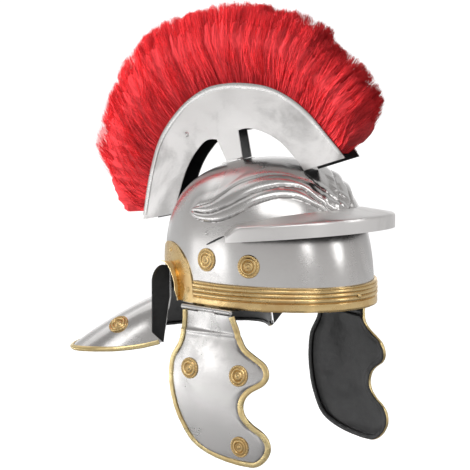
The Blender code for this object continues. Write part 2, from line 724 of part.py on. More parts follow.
def build_crest(steel, black, red):
    made = []
    outer = [crest_point(a, r) for a, r in CREST_OUTER]
    front = [crest_point(a, r) for a, r in CREST_FRONT_WINDOW]
    rear = [crest_point(a, r) for a, r in CREST_REAR_WINDOW]
    x_in, x_out = CREST_HALF_GAP, CREST_HALF_GAP + CREST_T
    lift = 0.0011 + 4.2 * GAP
    front[0] = (front[0][0], max(front[0][1], bowl_z(x_in, front[0][0]) + 0.0006))
    for side, tag in ((-1, "right"), (1, "left")):
        foot_z = [bowl_z(x_in, y, lift) for y in (LEG_FRONT_Y, LEG_REAR_Y)]
        leg = [(LEG_FRONT_Y, foot_z[0]), (LEG_REAR_Y, foot_z[1])]
        outline = outer + front + leg + rear
        made.append(prism("crest_plate_" + tag, outline, side * x_in, side * x_out, steel))
        # foot bent outwards on the bowl
        rings = []
        for k in range(5):
            y = LEG_FRONT_Y + (LEG_REAR_Y - LEG_FRONT_Y) * k / 4
            xs = (x_in, x_in + 0.0045, x_in + 0.009)
            low = [(side * x, y, bowl_z(x, y) + 2.5 * GAP) for x in xs]
            high = [(side * x, y, bowl_z(x, y) + 2.5 * GAP + 0.0011) for x in xs]
            rings.append(low + high[::-1])
        made.append(sweep("crest_foot_" + tag, rings, steel, smooth=False))
        y, z = 0.128, 0.173
        made.append(rivet("rivet_crest_" + tag, (side * (x_out + GAP), y, z), (side, 0, 0), steel, 1.15))
    # channel floor between the plates
    half = CREST_HALF_GAP - GAP
    rings = []
    for a, _ in CREST_OUTER:
        a = min(max(a, -6), 153.5)
        r = table_at(CREST_OUTER, a)
        ring = []
        for x, dr in ((-half, -0.014), (half, -0.014), (half, -0.012), (-half, -0.012)):
            y, z = crest_point(a, r + dr / CREST_R)
            ring.append((x, y, z))
        rings.append(ring)
    made.append(sweep("crest_channel", rings, black, smooth=False))
    made.append(build_plume(red))
    return made


# plume edge in polar form round the crest's centre: degrees from the back, share of PLUME_R
PLUME_EDGE = [(-7.0, 0.70), (-5.4, 0.775), (-1.4, 0.835), (4.7, 0.895), (10.3, 0.93), (14.3, 0.984), (20, 0.984),
              (28.3, 0.984), (35, 0.98), (39.2, 1.0), (45.7, 0.98), (50, 0.984), (56.4, 0.972), (61.5, 0.968),
              (64.7, 0.927), (70, 0.935), (78.6, 0.923), (86.2, 0.923), (93, 0.915), (101.5, 0.915), (109.5, 0.935),
              (115.9, 0.943), (119.6, 0.947), (121.2, 0.911), (125.7, 0.907), (132.4, 0.935), (138, 0.939),
              (142.3, 0.937), (145.2, 0.923), (148.9, 0.87), (151, 0.842), (152.4, 0.769), (153.6, 0.70)]


def build_plume(red):
    """Outer form of the hair, in locks that fan out from the crest plates."""
    count = 40
    rings = []
    half = CREST_HALF_GAP - 2 * GAP
    for k in range(count + 1):
        u = k / count
        a = PLUME_EDGE[0][0] + (PLUME_EDGE[-1][0] - PLUME_EDGE[0][0]) * u
        tip = table_at(PLUME_EDGE, a) * PLUME_R
        lock = 0.0025 if k % 2 else -0.0015
        tip += lock
        outer = table_at(CREST_OUTER, a) * CREST_R
        base = outer - 0.0110
        base_a = min(max(a, -5.5), 153.0)
        reach = max(tip - outer, 0.010)
        wide = PLUME_HALF_W * min(1.0, 0.42 + 0.58 * reach / (0.34 * PLUME_R)) * (1.06 if k % 2 else 0.96)
        ring = []
        for x, r, ang in ((half, base, base_a), (half, outer + 0.001, base_a), (wide * 0.80, outer + 0.45 * reach, a),
                          (wide, outer + 0.80 * reach, a), (wide * 0.45, tip - 0.004, a), (0.0, tip, a)):
            y, z = CREST_Y + math.cos(math.radians(ang)) * r, CREST_Z + math.sin(math.radians(ang)) * r
            ring.append((x, y, z))
        ring = ring + [(-x, y, z) for x, y, z in reversed(ring[:-1])]
        rings.append(ring)
    return sweep("plume", rings, red)


def build_rivets(steel, brass):
    made = []
    p = np.array([0.0, -(BOWL_FRONT + BAND_T * 1.0 + 2 * GAP), 0.56 * BAND_H])
    made.append(rivet("rivet_band", p, (0, -1, 0), brass, 1.0))
    for side, tag in ((-1, "right"), (1, "left")):
        for k, (y, z) in enumerate(((0.083, 0.0535), (0.0425, 0.0150)), 1):
            n = side_normal(y, z, side)
            p = np.array([side * bowl_x(y, z), y, z]) + n * (EAR_T + 2 * GAP + 0.0003)
            made.append(rivet("rivet_ear_%s_%d" % (tag, k), p, n, brass, 1.0))
        y, z = 0.014, guard_z(-0.026) - 0.0095
        n = side_normal(y, z, side)
        p = np.array([side * bowl_x(y, z), y, z]) + n * (GUARD_T + 2 * GAP + 0.0002)
        made.append(rivet("rivet_guard_" + tag, p, n, steel, 1.0))
        for k, (t, z) in enumerate(((90, 0.050), (65, 0.047)), 1):
            q = bowl_point(t, z) * (1, 1, 1)
            n = side_normal(q[1], z, side)
            p = np.array([side * abs(q[0]), q[1], z]) + n * (GAP + 0.0001)
            made.append(rosette("rosette_bowl_%s_%d" % (tag, k), p, n, ROSE_R_BOWL, brass))
        grid, _ = shell_grid(0.0)
        cols = [j for j, (t, kind) in enumerate(shell_columns()) if kind == "back" and t <= 180]
        j = cols[3]
        out = grid[-2, j] - grid[-3, j]
        n = np.cross(grid[-3, j + 1] - grid[-3, j - 1], grid[-2, j] - grid[-4, j])
        n /= np.linalg.norm(n)
        n = n if n[2] > 0 else -n
        p = grid[-3, j] + out * 0.15 + n * (GAP + 0.0006)
        p, n = p * (-side, 1, 1), n * (-side, 1, 1)
        made.append(rosette("rosette_neck_" + tag, p, n, ROSE_R_CHEEK, brass))
    return made


def main():
    for obj in list(bpy.data.objects):
        bpy.data.objects.remove(obj)
    steel = material("polished_steel", (0.62, 0.62, 0.63), 1.0, 0.22)
    brass = material("brass_trim", (0.74, 0.52, 0.20), 1.0, 0.25)
    black = material("black_paint", (0.02, 0.02, 0.02), 0.0, 0.45)
    red = material("red_hair", (0.55, 0.02, 0.04), 0.0, 0.7)
    build_shell(steel)
    build_neck_trim(brass)
    build_band(brass)
    build_brow_guard(steel)
    for side, tag in ((-1, "right"), (1, "left")):
        build_ear_guard("ear_guard_" + tag, side, brass)
        build_ear_fin(side, tag, steel)
        build_cheek(side, tag, steel, brass, black)
        build_hinge_fixed(side, tag, steel)
    build_crest(steel, black, red)
    build_rivets(steel, brass)
    bpy.context.view_layer.update()


main()
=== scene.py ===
import math

import bmesh
import bpy
import numpy as np
from bpy.props import FloatProperty, FloatVectorProperty, IntProperty, PointerProperty
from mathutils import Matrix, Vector


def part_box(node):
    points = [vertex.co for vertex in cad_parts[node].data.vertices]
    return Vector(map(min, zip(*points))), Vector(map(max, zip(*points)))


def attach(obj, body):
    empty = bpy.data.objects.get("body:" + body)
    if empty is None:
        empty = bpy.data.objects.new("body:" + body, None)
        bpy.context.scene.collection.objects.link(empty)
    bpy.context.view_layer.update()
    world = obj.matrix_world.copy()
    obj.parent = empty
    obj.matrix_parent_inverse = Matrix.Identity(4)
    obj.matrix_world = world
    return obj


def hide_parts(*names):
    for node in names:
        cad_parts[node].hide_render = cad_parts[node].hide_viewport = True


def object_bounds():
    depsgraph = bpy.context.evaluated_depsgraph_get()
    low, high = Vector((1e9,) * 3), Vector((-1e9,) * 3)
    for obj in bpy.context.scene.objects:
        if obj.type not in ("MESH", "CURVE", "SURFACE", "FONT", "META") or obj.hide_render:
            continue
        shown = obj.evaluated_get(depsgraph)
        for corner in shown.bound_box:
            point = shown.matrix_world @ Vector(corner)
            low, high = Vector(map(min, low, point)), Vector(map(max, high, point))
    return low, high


bl_info = {
    "name": "Roman Helmet Dresser",
    "version": (1, 0, 0),
    "blender": (4, 5, 0),
    "location": "3D Viewport > Sidebar > Helmet",
    "description": "Builds the steel, brass and horsehair of a Roman legionary helmet",
    "category": "Object",
}

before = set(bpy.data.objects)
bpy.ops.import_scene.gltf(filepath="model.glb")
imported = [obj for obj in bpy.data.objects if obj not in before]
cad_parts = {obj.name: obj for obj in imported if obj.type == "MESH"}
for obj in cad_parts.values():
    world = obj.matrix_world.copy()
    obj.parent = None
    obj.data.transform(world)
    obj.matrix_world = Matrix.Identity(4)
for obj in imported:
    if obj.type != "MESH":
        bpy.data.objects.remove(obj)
CAD_BOX = [list(corner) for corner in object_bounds()]

# sizes shared with the solids, in metres, and angles in radians
SHELL_T = 0.0014
BOWL_H = 0.155
BOWL_HALF_W = 0.0965
BOWL_FRONT = 0.116
BOWL_REAR = 0.142
NECK_REACH = 0.223
NECK_DROP = 0.060
NECK_HALF_W = 0.141
EAR_Y = 0.084
EAR_Z = 0.012
EAR_HALF_W = 0.021
EAR_HALF_H = 0.027
EAR_PLATE_W = 0.048
EAR_PLATE_H = 0.049
VISOR_X = 0.099
FIN_X = 0.1062
FIN_Y = 0.0886
FIN_TOP = 0.0370
BAND_H = 0.026
GUARD_HALF_W = 0.112
GUARD_REACH = 0.138
GUARD_Z = 0.0885
GUARD_TILT = 0.105
GUARD_FACE = 0.0150
HINGE_X = 0.1060
HINGE_Z = -0.0016
HINGE_FRONT = -0.0315
HINGE_REAR = 0.0410
CHEEK_H = 0.1633
CHEEK_FOLD = 0.0235
CHEEK_TOE = 0.1625
CHEEK_BEND = 0.98
CHEEK_FLARE = 0.165
CHEEK_CURL = 1.35
CHEEK_TWIST = 0.98
CHEEK_D = 0.085
CREST_Y = 0.045
CREST_Z = 0.095
CREST_R = 0.167
CREST_HALF_GAP = 0.0112
PLUME_R = 0.247

# sheet thicknesses and small parts, in metres
EAR_T = 0.0010
GUARD_T = 0.0016
CHEEK_T = 0.0012
STRIP_T = 0.0011
STRIP_BACK = 0.0016
STRIP_SLOT = 0.0004
KNUCKLE_R = 0.0026
KNUCKLE_BORE = 0.0014
ROSETTE_H = 0.0030
RIVET_R, RIVET_H = 0.0026, 0.0015

BROW_HIGH_Z, BROW_LOW_Z = 0.145, 0.082      # heights between which the bowl's rows lie close
EAR_CUT_TOP = 0.062                         # rows under this height bend round the ear opening
STRIP_POINTS = 17                           # points round a folded strip
STRIP_INNER = (9, 10, 11, 12, 13)           # its segments that face inwards
PLUME_FROM, PLUME_TO = -7.0, 153.6          # ends of the plume, in degrees round the crest
PLUME_SPLIT = 74                            # where its back half meets its front half
CARD_AZIMUTH = -119                         # direction of the floor's glowing stripe, in degrees
TARGET = (0.0, 0.0645, 0.0634)              # point that the camera looks at

SIDES = ((-1, "right"), (1, "left"))


class ShellSizes(bpy.types.PropertyGroup):
    relief: FloatProperty(name="Brow relief", description="How far the embossed eyebrows stand out",
                          default=0.0030, min=0.0, max=0.006, unit="LENGTH")
    columns: FloatProperty(name="Column step", description="Degrees between the columns of the bowl",
                           default=1.0, min=0.5, max=8.0)
    rows: IntProperty(name="Brow rows", description="Rows of the bowl across the embossed brow", default=68, min=20,
                      max=200)


class TrimSizes(bpy.types.PropertyGroup):
    band: FloatProperty(name="Band thickness", description="How far the brow band stands off the bowl",
                        default=0.0036, min=0.001, max=0.008, unit="LENGTH")
    edge: FloatProperty(name="Edge strip width", description="Width of the strip folded over an edge",
                        default=0.0042, min=0.001, max=0.008, unit="LENGTH")
    rosette_bowl: FloatProperty(name="Bowl rosette radius", description="Radius of the rosettes on the bowl",
                                default=0.0126, min=0.005, max=0.02, unit="LENGTH")
    rosette_cheek: FloatProperty(name="Cheek rosette radius", description="Radius of the rosettes on the cheek guards",
                                 default=0.0115, min=0.005, max=0.02, unit="LENGTH")


class CrestSizes(bpy.types.PropertyGroup):
    strands: IntProperty(name="Strands", description="Locks of hair in each quarter of the plume",
                         default=5400, min=100, max=6000)
    strand_width: FloatProperty(name="Strand width", description="Width of a strand of hair at its root",
                                default=0.00074, min=0.0002, max=0.003, unit="LENGTH")
    half_width: FloatProperty(name="Plume half width", description="How far the hair spreads to each side",
                              default=0.030, min=0.01, max=0.05, unit="LENGTH")
    plate: FloatProperty(name="Plate thickness", description="Thickness of the two crest plates",
                         default=0.0010, min=0.0005, max=0.003, unit="LENGTH")


class FinishColours(bpy.types.PropertyGroup):
    steel: FloatVectorProperty(name="Steel", description="Colour of the polished steel", subtype="COLOR",
                               default=(0.76, 0.745, 0.735), min=0.0, max=1.0)
    brass: FloatVectorProperty(name="Brass", description="Colour of the polished brass", subtype="COLOR",
                               default=(0.88, 0.635, 0.30), min=0.0, max=1.0)
    hair: FloatVectorProperty(name="Horsehair", description="Colour of the dyed horsehair", subtype="COLOR",
                              default=(0.83, 0.042, 0.052), min=0.0, max=1.0)
    # this paint colour also colours the black slivers of painted shadow
    paint: FloatVectorProperty(name="Inside paint", description="Colour of the paint on the inside faces",
                               subtype="COLOR", default=(0.008, 0.008, 0.0085), min=0.0, max=1.0)


class StageSizes(bpy.types.PropertyGroup):
    drop: FloatProperty(name="Floor drop", description="How far the floor lies below the cheek guards",
                        default=0.20, min=0.0, max=1.0, unit="LENGTH")
    azimuth: FloatProperty(name="Camera azimuth", description="Camera direction round the helmet, in degrees",
                           default=-46.0)
    elevation: FloatProperty(name="Camera elevation", description="Camera height angle, in degrees", default=7.33)
    distance: FloatProperty(name="Camera distance", description="Distance from the camera to the helmet",
                            default=2.6, min=0.5, max=10.0, unit="LENGTH")
    focal: FloatProperty(name="Focal length", description="Lens of the camera in millimetres", default=178.7)
    backdrop: FloatProperty(name="Backdrop light", description="Brightness of the lit backdrop behind the helmet",
                            default=1.0, min=0.0, max=5.0)


# helpers for meshes

def settings():
    return bpy.context.scene.roman_helmet


def unit(v):
    return v / np.linalg.norm(v)


def smoothstep(a, b, x):
    t = min(max((x - a) / (b - a), 0.0), 1.0)
    return t * t * (3 - 2 * t)


def lerp_table(table, x):
    xs = [p[0] for p in table]
    return [float(np.interp(x, xs, [p[k] for p in table])) for k in range(1, len(table[0]))]


def smooth_table(table, x):
    """Catmull-Rom value of a table of (x, values...) at x."""
    n = len(table)
    x = min(max(x, table[0][0]), table[-1][0])
    i = 0
    while i < n - 2 and x > table[i + 1][0]:
        i += 1
    p1, p2 = table[i], table[i + 1]
    p0 = table[i - 1] if i > 0 else None
    p3 = table[i + 2] if i + 2 < n else None
    h = p2[0] - p1[0]
    u = (x - p1[0]) / h
    out = []
    for k in range(1, len(p1)):
        m1 = (p2[k] - p0[k]) / (p2[0] - p0[0]) if p0 else (p2[k] - p1[k]) / h
        m2 = (p3[k] - p1[k]) / (p3[0] - p1[0]) if p3 else (p2[k] - p1[k]) / h
        out.append((2 * u ** 3 - 3 * u ** 2 + 1) * p1[k] + (u ** 3 - 2 * u ** 2 + u) * h * m1
                   + (-2 * u ** 3 + 3 * u ** 2) * p2[k] + (u ** 3 - u ** 2) * h * m2)
    return out


def add_mesh(name, verts, faces, mats, face_mats=None, body="helmet", replaces=(), smooth=True):
    """New piece: mesh object with its materials, riding on a body."""
    mesh = bpy.data.meshes.new(name)
    mesh.from_pydata([tuple(map(float, v)) for v in verts], [], faces)
    for mat in mats:
        mesh.materials.append(mat)
    if face_mats is not None:
        mesh.polygons.foreach_set("material_index", face_mats)
    bm = bmesh.new()
    bm.from_mesh(mesh)
    bmesh.ops.recalc_face_normals(bm, faces=bm.faces)
    for face in bm.faces:
        face.smooth = smooth
    bm.to_mesh(mesh)
    bm.free()
    obj = bpy.data.objects.new(name, mesh)
    bpy.context.scene.collection.objects.link(obj)
    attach(obj, body)
    if replaces:
        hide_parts(*replaces)
    if smooth:
        mesh.set_sharp_from_angle(angle=math.radians(38))
    return obj


def grid_normals(mid, wrap=False):
    along = (np.roll(mid, -1, 1) - np.roll(mid, 1, 1)) if wrap else np.gradient(mid, axis=1)
    down = np.gradient(mid, axis=0)
    n = np.cross(along, down)
    return n / np.maximum(np.linalg.norm(n, axis=2, keepdims=True), 1e-12)


def shell_mesh(top, low, wrap=False, mask=None, poles=None):
    """Vertices, faces and a side number (0 outer, 1 inner, 2 edge) of a closed sheet between two grids."""
    rows, cols = top.shape[:2]
    verts = [tuple(p) for p in top.reshape(-1, 3)] + [tuple(p) for p in low.reshape(-1, 3)]
    half = rows * cols
    faces = []
    for r in range(rows - 1):
        for c in range(cols if wrap else cols - 1):
            if mask is not None and not mask[r][c]:
                continue
            d = (c + 1) % cols
            faces.append((r * cols + c, r * cols + d, (r + 1) * cols + d, (r + 1) * cols + c))
    if poles is not None:
        tip = len(verts)
        verts += [tuple(poles[0]), tuple(poles[1])]
        faces += [(tip, (c + 1) % cols, c) for c in range(cols)]

    def other(i):
        return i + half if i < half else i + 1

    used = {(f[i], f[(i + 1) % len(f)]) for f in faces for i in range(len(f))}
    sides = [(b, a, other(a), other(b)) for a, b in sorted(used) if (b, a) not in used]
    back = [tuple(other(i) for i in reversed(f)) for f in faces]
    allf = faces + back + sides
    kind = [0] * len(faces) + [1] * len(back) + [2] * len(sides)
    keep = sorted({i for f in allf for i in f})
    index = {v: k for k, v in enumerate(keep)}
    return [verts[i] for i in keep], [tuple(index[i] for i in f) for f in allf], kind


def sheet_mesh(mid, normals, thick, mask=None):
    """Closed sheet of one thickness round a grid of points."""
    return shell_mesh(mid + normals * thick / 2, mid - normals * thick / 2, mask=mask)


def inside_paint(kind):
    """Material numbers of a sheet: 1, the paint, on its inner side."""
    return [int(k == 1) for k in kind]


def add_painted_shade(obj, share):
    """Keeps the share of painted shade at each vertex for the material to read."""
    crease_shade = obj.data.attributes.new("crease_shade", "FLOAT", "POINT")
    crease_shade.data.foreach_set("value", [share(v.co) for v in obj.data.vertices])


def sweep_mesh(rings, closed=False):
    """Rings of points joined into a tube, with end caps unless it closes on itself."""
    k = len(rings[0])
    verts = [tuple(p) for ring in rings for p in ring]
    faces = []
    count = len(rings)
    for i in range(count if closed else count - 1):
        j = (i + 1) % count
        for a in range(k):
            b = (a + 1) % k
            faces.append((i * k + a, i * k + b, j * k + b, j * k + a))
    if not closed:
        faces.append(tuple(reversed(range(k))))
        faces.append(tuple((count - 1) * k + a for a in range(k)))
    return verts, faces


def lathe_mesh(profile, centre, normal, steps, beads=None):
    """Turned form of (radius, height) points; beads is (ring number, count, height)."""
    n = Vector(normal).normalized()
    u = n.orthogonal().normalized()
    v = n.cross(u)
    c = Vector(centre)
    verts, faces, rings = [], [], []
    for i, (r, h) in enumerate(profile):
        if r < 1e-9:
            rings.append([len(verts)])
            verts.append(tuple(c + n * h))
            continue
        ring = []
        for k in range(steps):
            a = 2 * math.pi * k / steps
            lift = 0.0
            if beads and i in beads[0]:
                lift = beads[2] * (abs(math.cos(a * beads[1] / 2)) - 0.6)
            ring.append(len(verts))
            verts.append(tuple(c + n * (h + lift) + (u * math.cos(a) + v * math.sin(a)) * r))
        rings.append(ring)
    for lo, hi in zip(rings[:-1], rings[1:]):
        for k in range(steps):
            m = (k + 1) % steps
            if len(lo) == 1:
                faces.append((lo[0], hi[k], hi[m]))
            elif len(hi) == 1:
                faces.append((lo[m], lo[k], hi[0]))
            else:
                faces.append((lo[k], hi[k], hi[m], lo[m]))
    return verts, faces


def join(parts):
    """One list of vertices and faces out of several."""
    verts, faces = [], []
    for v, f in parts:
        base = len(verts)
        verts += v
        faces += [tuple(i + base for i in face) for face in f]
    return verts, faces


# the bowl's form

def bowl_dims(z):
    u = min(max(z / BOWL_H, 0.0), 1.0)
    return (BOWL_HALF_W * (1 - u ** 4.2) ** (1 / 2.2),
            BOWL_FRONT * (1 - u ** 2.4) ** (1 / 2.2),
            BOWL_REAR * (1 - u ** 3.6) ** 0.5)


def bowl_point(t, z, out=0.0):
    b, f, r = bowl_dims(z)
    c, a = (r - f) / 2, (r + f) / 2
    s, k = math.sin(math.radians(t)), math.cos(math.radians(t))
    n = np.array([-s / max(b, 1e-6), -k / max(a, 1e-6), 0.0])
    n = unit(n)
    return np.array([-b * s, c - a * k, z]) + n * out


def bowl_x(y, z, out=0.0):
    b, f, r = bowl_dims(z)
    c, a = (r - f) / 2, (r + f) / 2
    return b * math.sqrt(max(1 - ((y - c) / a) ** 2, 0.0)) + out


def bowl_side(y, z, side):
    return np.array([side * bowl_x(y, z), y, z])


def bowl_z(x, y, out=0.0):
    lo, hi = 0.0, BOWL_H
    for _ in range(40):
        z = (lo + hi) / 2
        b, f, r = bowl_dims(z)
        c, a = (r - f) / 2, (r + f) / 2
        inside = b > 0 and a > 0 and (x / b) ** 2 + ((y - c) / a) ** 2 < 1
        lo, hi = (z, hi) if inside else (lo, z)
    return lo + out


def side_normal(y, z, side):
    d = 0.002
    p = [np.array([side * bowl_x(y + a, z + b), y + a, z + b]) for a, b in ((-d, 0), (d, 0), (0, -d), (0, d))]
    n = np.cross(p[1] - p[0], p[3] - p[2])
    n = unit(n)
    return n if n[0] * side > 0 else -n


# three lines of the eyebrow: degrees round from the front, share of BOWL_H
BROW_TOP = [(0, 0.735), (10, 0.82), (16, 0.865), (26, 0.89), (36, 0.91), (54, 0.91), (67, 0.884),
            (77, 0.845), (84, 0.781), (91, 0.723), (100, 0.69), (107, 0.665)]
BROW_MID = [(0, 0.655), (9, 0.684), (18, 0.761), (26, 0.826), (39, 0.845), (48, 0.839), (61, 0.806),
            (71, 0.755), (78, 0.71), (90, 0.655), (107, 0.648)]
BROW_LOW = [(0, 0.575), (6, 0.59), (13, 0.632), (18, 0.697), (24, 0.735), (32, 0.768), (40, 0.774), (48, 0.768),
            (60, 0.729), (71, 0.658), (81, 0.606), (89, 0.594), (98, 0.60), (107, 0.632)]


BROW_LINES = {}


def brow_lines(t):
    """Shares of the bowl's height at which the three lines of the eyebrow lie."""
    key = round(t, 4)
    if key not in BROW_LINES:
        BROW_LINES[key] = tuple(smooth_table(table, key)[0] for table in (BROW_TOP, BROW_MID, BROW_LOW))
    return BROW_LINES[key]


def brow_height(t, z, relief):
    """Embossed eyebrow: two long rolls with sharp lower edges, from the front centre to a tail over the ear."""
    t = abs((t + 180.0) % 360.0 - 180.0)
    if t > 110 or z < 0.07:
        return 0.0
    s = z / BOWL_H
    top, mid, low = brow_lines(min(t, 107))
    fade = 1 - smoothstep(101, 109, t)
    edge = 0.0085
    if s < low:
        h = 0.78 * smoothstep(low - edge, low, s)
    elif s < mid - edge:
        u = (s - low) / (mid - edge - low)
        h = 0.78 + 0.34 * math.sin(math.pi * min(u * 1.15, 1.0)) - 0.52 * u * u
    elif s < mid:
        h = 0.26 + 0.66 * smoothstep(mid - edge, mid, s)
    elif s < top - edge:
        u = (s - mid) / (top - edge - mid)
        h = 0.92 + 0.30 * math.sin(math.pi * min(u * 1.2, 1.0)) - 0.62 * u * u
    elif s < top:
        h = 0.30 + 0.34 * smoothstep(top - edge, top, s)
    else:
        h = 0.64 * (1 - smoothstep(0.0, 1.0, (s - top) / 0.085))
    feather = 0.0
    if t < 24 and s > low:
        ray = math.cos((t + (s - low) * 55) * 0.72)
        feather = 0.22 * max(ray, -0.2) * (1 - smoothstep(12, 24, t)) * (1 - smoothstep(top + 0.01, top + 0.08, s))
    return relief * fade * (h + feather)


def brow_crease_shade(x, y, z):
    """Share of painted shade in the creases under the eyebrow's lines."""
    if z < 0.075 or z > 0.15:
        return 0.0
    b, f, r = bowl_dims(z)
    t = math.degrees(math.atan2(abs(x) / b, ((r - f) / 2 - y) * 2 / (r + f)))
    if t > 108:
        return 0.0
    fade = 1 - smoothstep(100, 108, t)
    lines = zip(brow_lines(min(t, 107)), (0.6, 0.8, 1.0))
    return fade * max(share * math.exp(-((z / BOWL_H - line + 0.0075) / 0.0042) ** 2) for line, share in lines)


# degrees round from the front, shares of NECK_HALF_W, NECK_REACH and NECK_DROP
NECK_EDGE = [(125.7, 0.625, 0.399, 0.82), (131, 0.745, 0.484, 0.92), (137, 0.879, 0.574, 0.97),
             (143, 0.985, 0.682, 0.985), (149, 1.0, 0.789, 1.0), (155, 0.908, 0.874, 1.01),
             (161, 0.738, 0.933, 1.01), (167, 0.525, 0.969, 1.0), (173.5, 0.27, 0.991, 0.985), (180, 0.0, 1.0, 0.97)]
NECK_ROWS = 20


def ear_arch(y):
    u = (y - EAR_Y) / EAR_HALF_W
    return EAR_Z + EAR_HALF_H * math.sqrt(max(1 - u * u, 0.0))


def shell_columns(step):
    half = [(t, "front") for t in np.linspace(0, 111.0, int(111 / step) + 1)]
    half += [(t, "ear") for t in np.linspace(111.9, 125.2, 20)]
    half += [(t, "back") for t in np.linspace(125.7, 180.0, int(54.3 / (step * 1.1)) + 1)]
    half = [(round(float(t), 4), kind) for t, kind in half]
    return half + [(360 - t, kind) for t, kind in reversed(half[1:-1])]


def bowl_surface(t, z, relief, drop=0.0):
    """Point and outward normal of the embossed bowl."""
    def at(tt, zz):
        p = bowl_point(tt, zz)
        h = brow_height(tt, zz, relief)
        if h:
            q = (bowl_point(tt, zz - 0.001), bowl_point(tt, zz + 0.001), bowl_point(tt + 0.6, zz),
                 bowl_point(tt - 0.6, zz))
            n = np.cross(q[1] - q[0], q[3] - q[2])
            n = unit(n)
            if np.dot(n, p - np.array([0, 0.01, 0.03])) < 0:
                n = -n
            p = p + n * h
        return p
    d = 0.0006
    zl, zh = z - d, min(z + d, BOWL_H * 0.99995)
    a, b = at(t, zl), at(t, zh)
    c, e = at(t - 0.35, z), at(t + 0.35, z)
    n = np.cross(b - a, c - e)
    n = unit(n)
    p = at(t, z)
    if np.dot(n, p - np.array([0, 0.01, 0.02])) < 0:
        n = -n
    return p, n


def neck_curve(t, v):
    """Point of the nape and neck guard under the rim: v runs from the rim to the edge."""
    base = bowl_point(t, 0.0)
    ex, ey, ez = smooth_table(NECK_EDGE, t)
    edge = np.array([-ex * NECK_HALF_W, ey * NECK_REACH, -ez * NECK_DROP])
    k = lerp_table([(row[0], i) for i, row in enumerate(NECK_EDGE)], t)[0]
    ctrl = (base + edge) / 2 + np.array([0, 0, 0.010 * smoothstep(0, 3, k)])
    return base * (1 - v) ** 2 + ctrl * 2 * v * (1 - v) + edge * v * v


# materials

def new_group(name, inputs, outputs):
    group = bpy.data.node_groups.new(name, "ShaderNodeTree")
    for label, kind, value in inputs:
        sock = group.interface.new_socket(name=label, in_out="INPUT", socket_type=kind)
        sock.default_value = value
    for label, kind in outputs:
        group.interface.new_socket(name=label, in_out="OUTPUT", socket_type=kind)
    return group, group.nodes.new("NodeGroupInput"), group.nodes.new("NodeGroupOutput")


def add_node(tree, kind, links=(), **props):
    """Node with properties; links holds (input socket, value or source socket)."""
    node = tree.nodes.new(kind)
    for key, value in props.items():
        setattr(node, key, value)
    for sock, value in links:
        target = node.inputs[sock]
        if isinstance(value, bpy.types.NodeSocket):
            tree.links.new(value, target)
        else:
            target.default_value = value
    return node


def math_node(tree, operation, a, b=0.0, clamp=False):
    node = add_node(tree, "ShaderNodeMath", [(0, a), (1, b)], operation=operation)
    node.use_clamp = clamp
    return node.outputs[0]


def times(tree, a, b):
    return math_node(tree, "MULTIPLY", a, b)


def plus(tree, a, b):
    return math_node(tree, "ADD", a, b)


def minus(tree, a, b):
    return math_node(tree, "SUBTRACT", a, b)


def noise(tree, place, scale, detail, rough):
    node = add_node(tree, "ShaderNodeTexNoise", [("Vector", place), ("Scale", scale), ("Detail", detail),
                                                 ("Roughness", rough)])
    return node.outputs["Fac"]


def dot(tree, place, direction):
    return add_node(tree, "ShaderNodeVectorMath", [(0, place), (1, direction)],
                    operation="DOT_PRODUCT").outputs["Value"]


def scaled(colour, *factors):
    return tuple(c * f for c, f in zip(colour, factors))


def mix_colour(tree, factor, a, b, blend="MIX"):
    node = add_node(tree, "ShaderNodeMix", data_type="RGBA", blend_type=blend)
    for index, value in ((0, factor), (6, a), (7, b)):
        if isinstance(value, bpy.types.NodeSocket):
            tree.links.new(value, node.inputs[index])
        else:
            node.inputs[index].default_value = value
    return node.outputs[2]


def ramp(tree, value, low, high, out_low=0.0, out_high=1.0):
    node = add_node(tree, "ShaderNodeMapRange", [(0, value), (1, low), (2, high), (3, out_low), (4, out_high)])
    node.interpolation_type = "SMOOTHSTEP"
    return node.outputs[0]


def group_object_coords(tree):
    return add_node(tree, "ShaderNodeTexCoord").outputs["Object"]


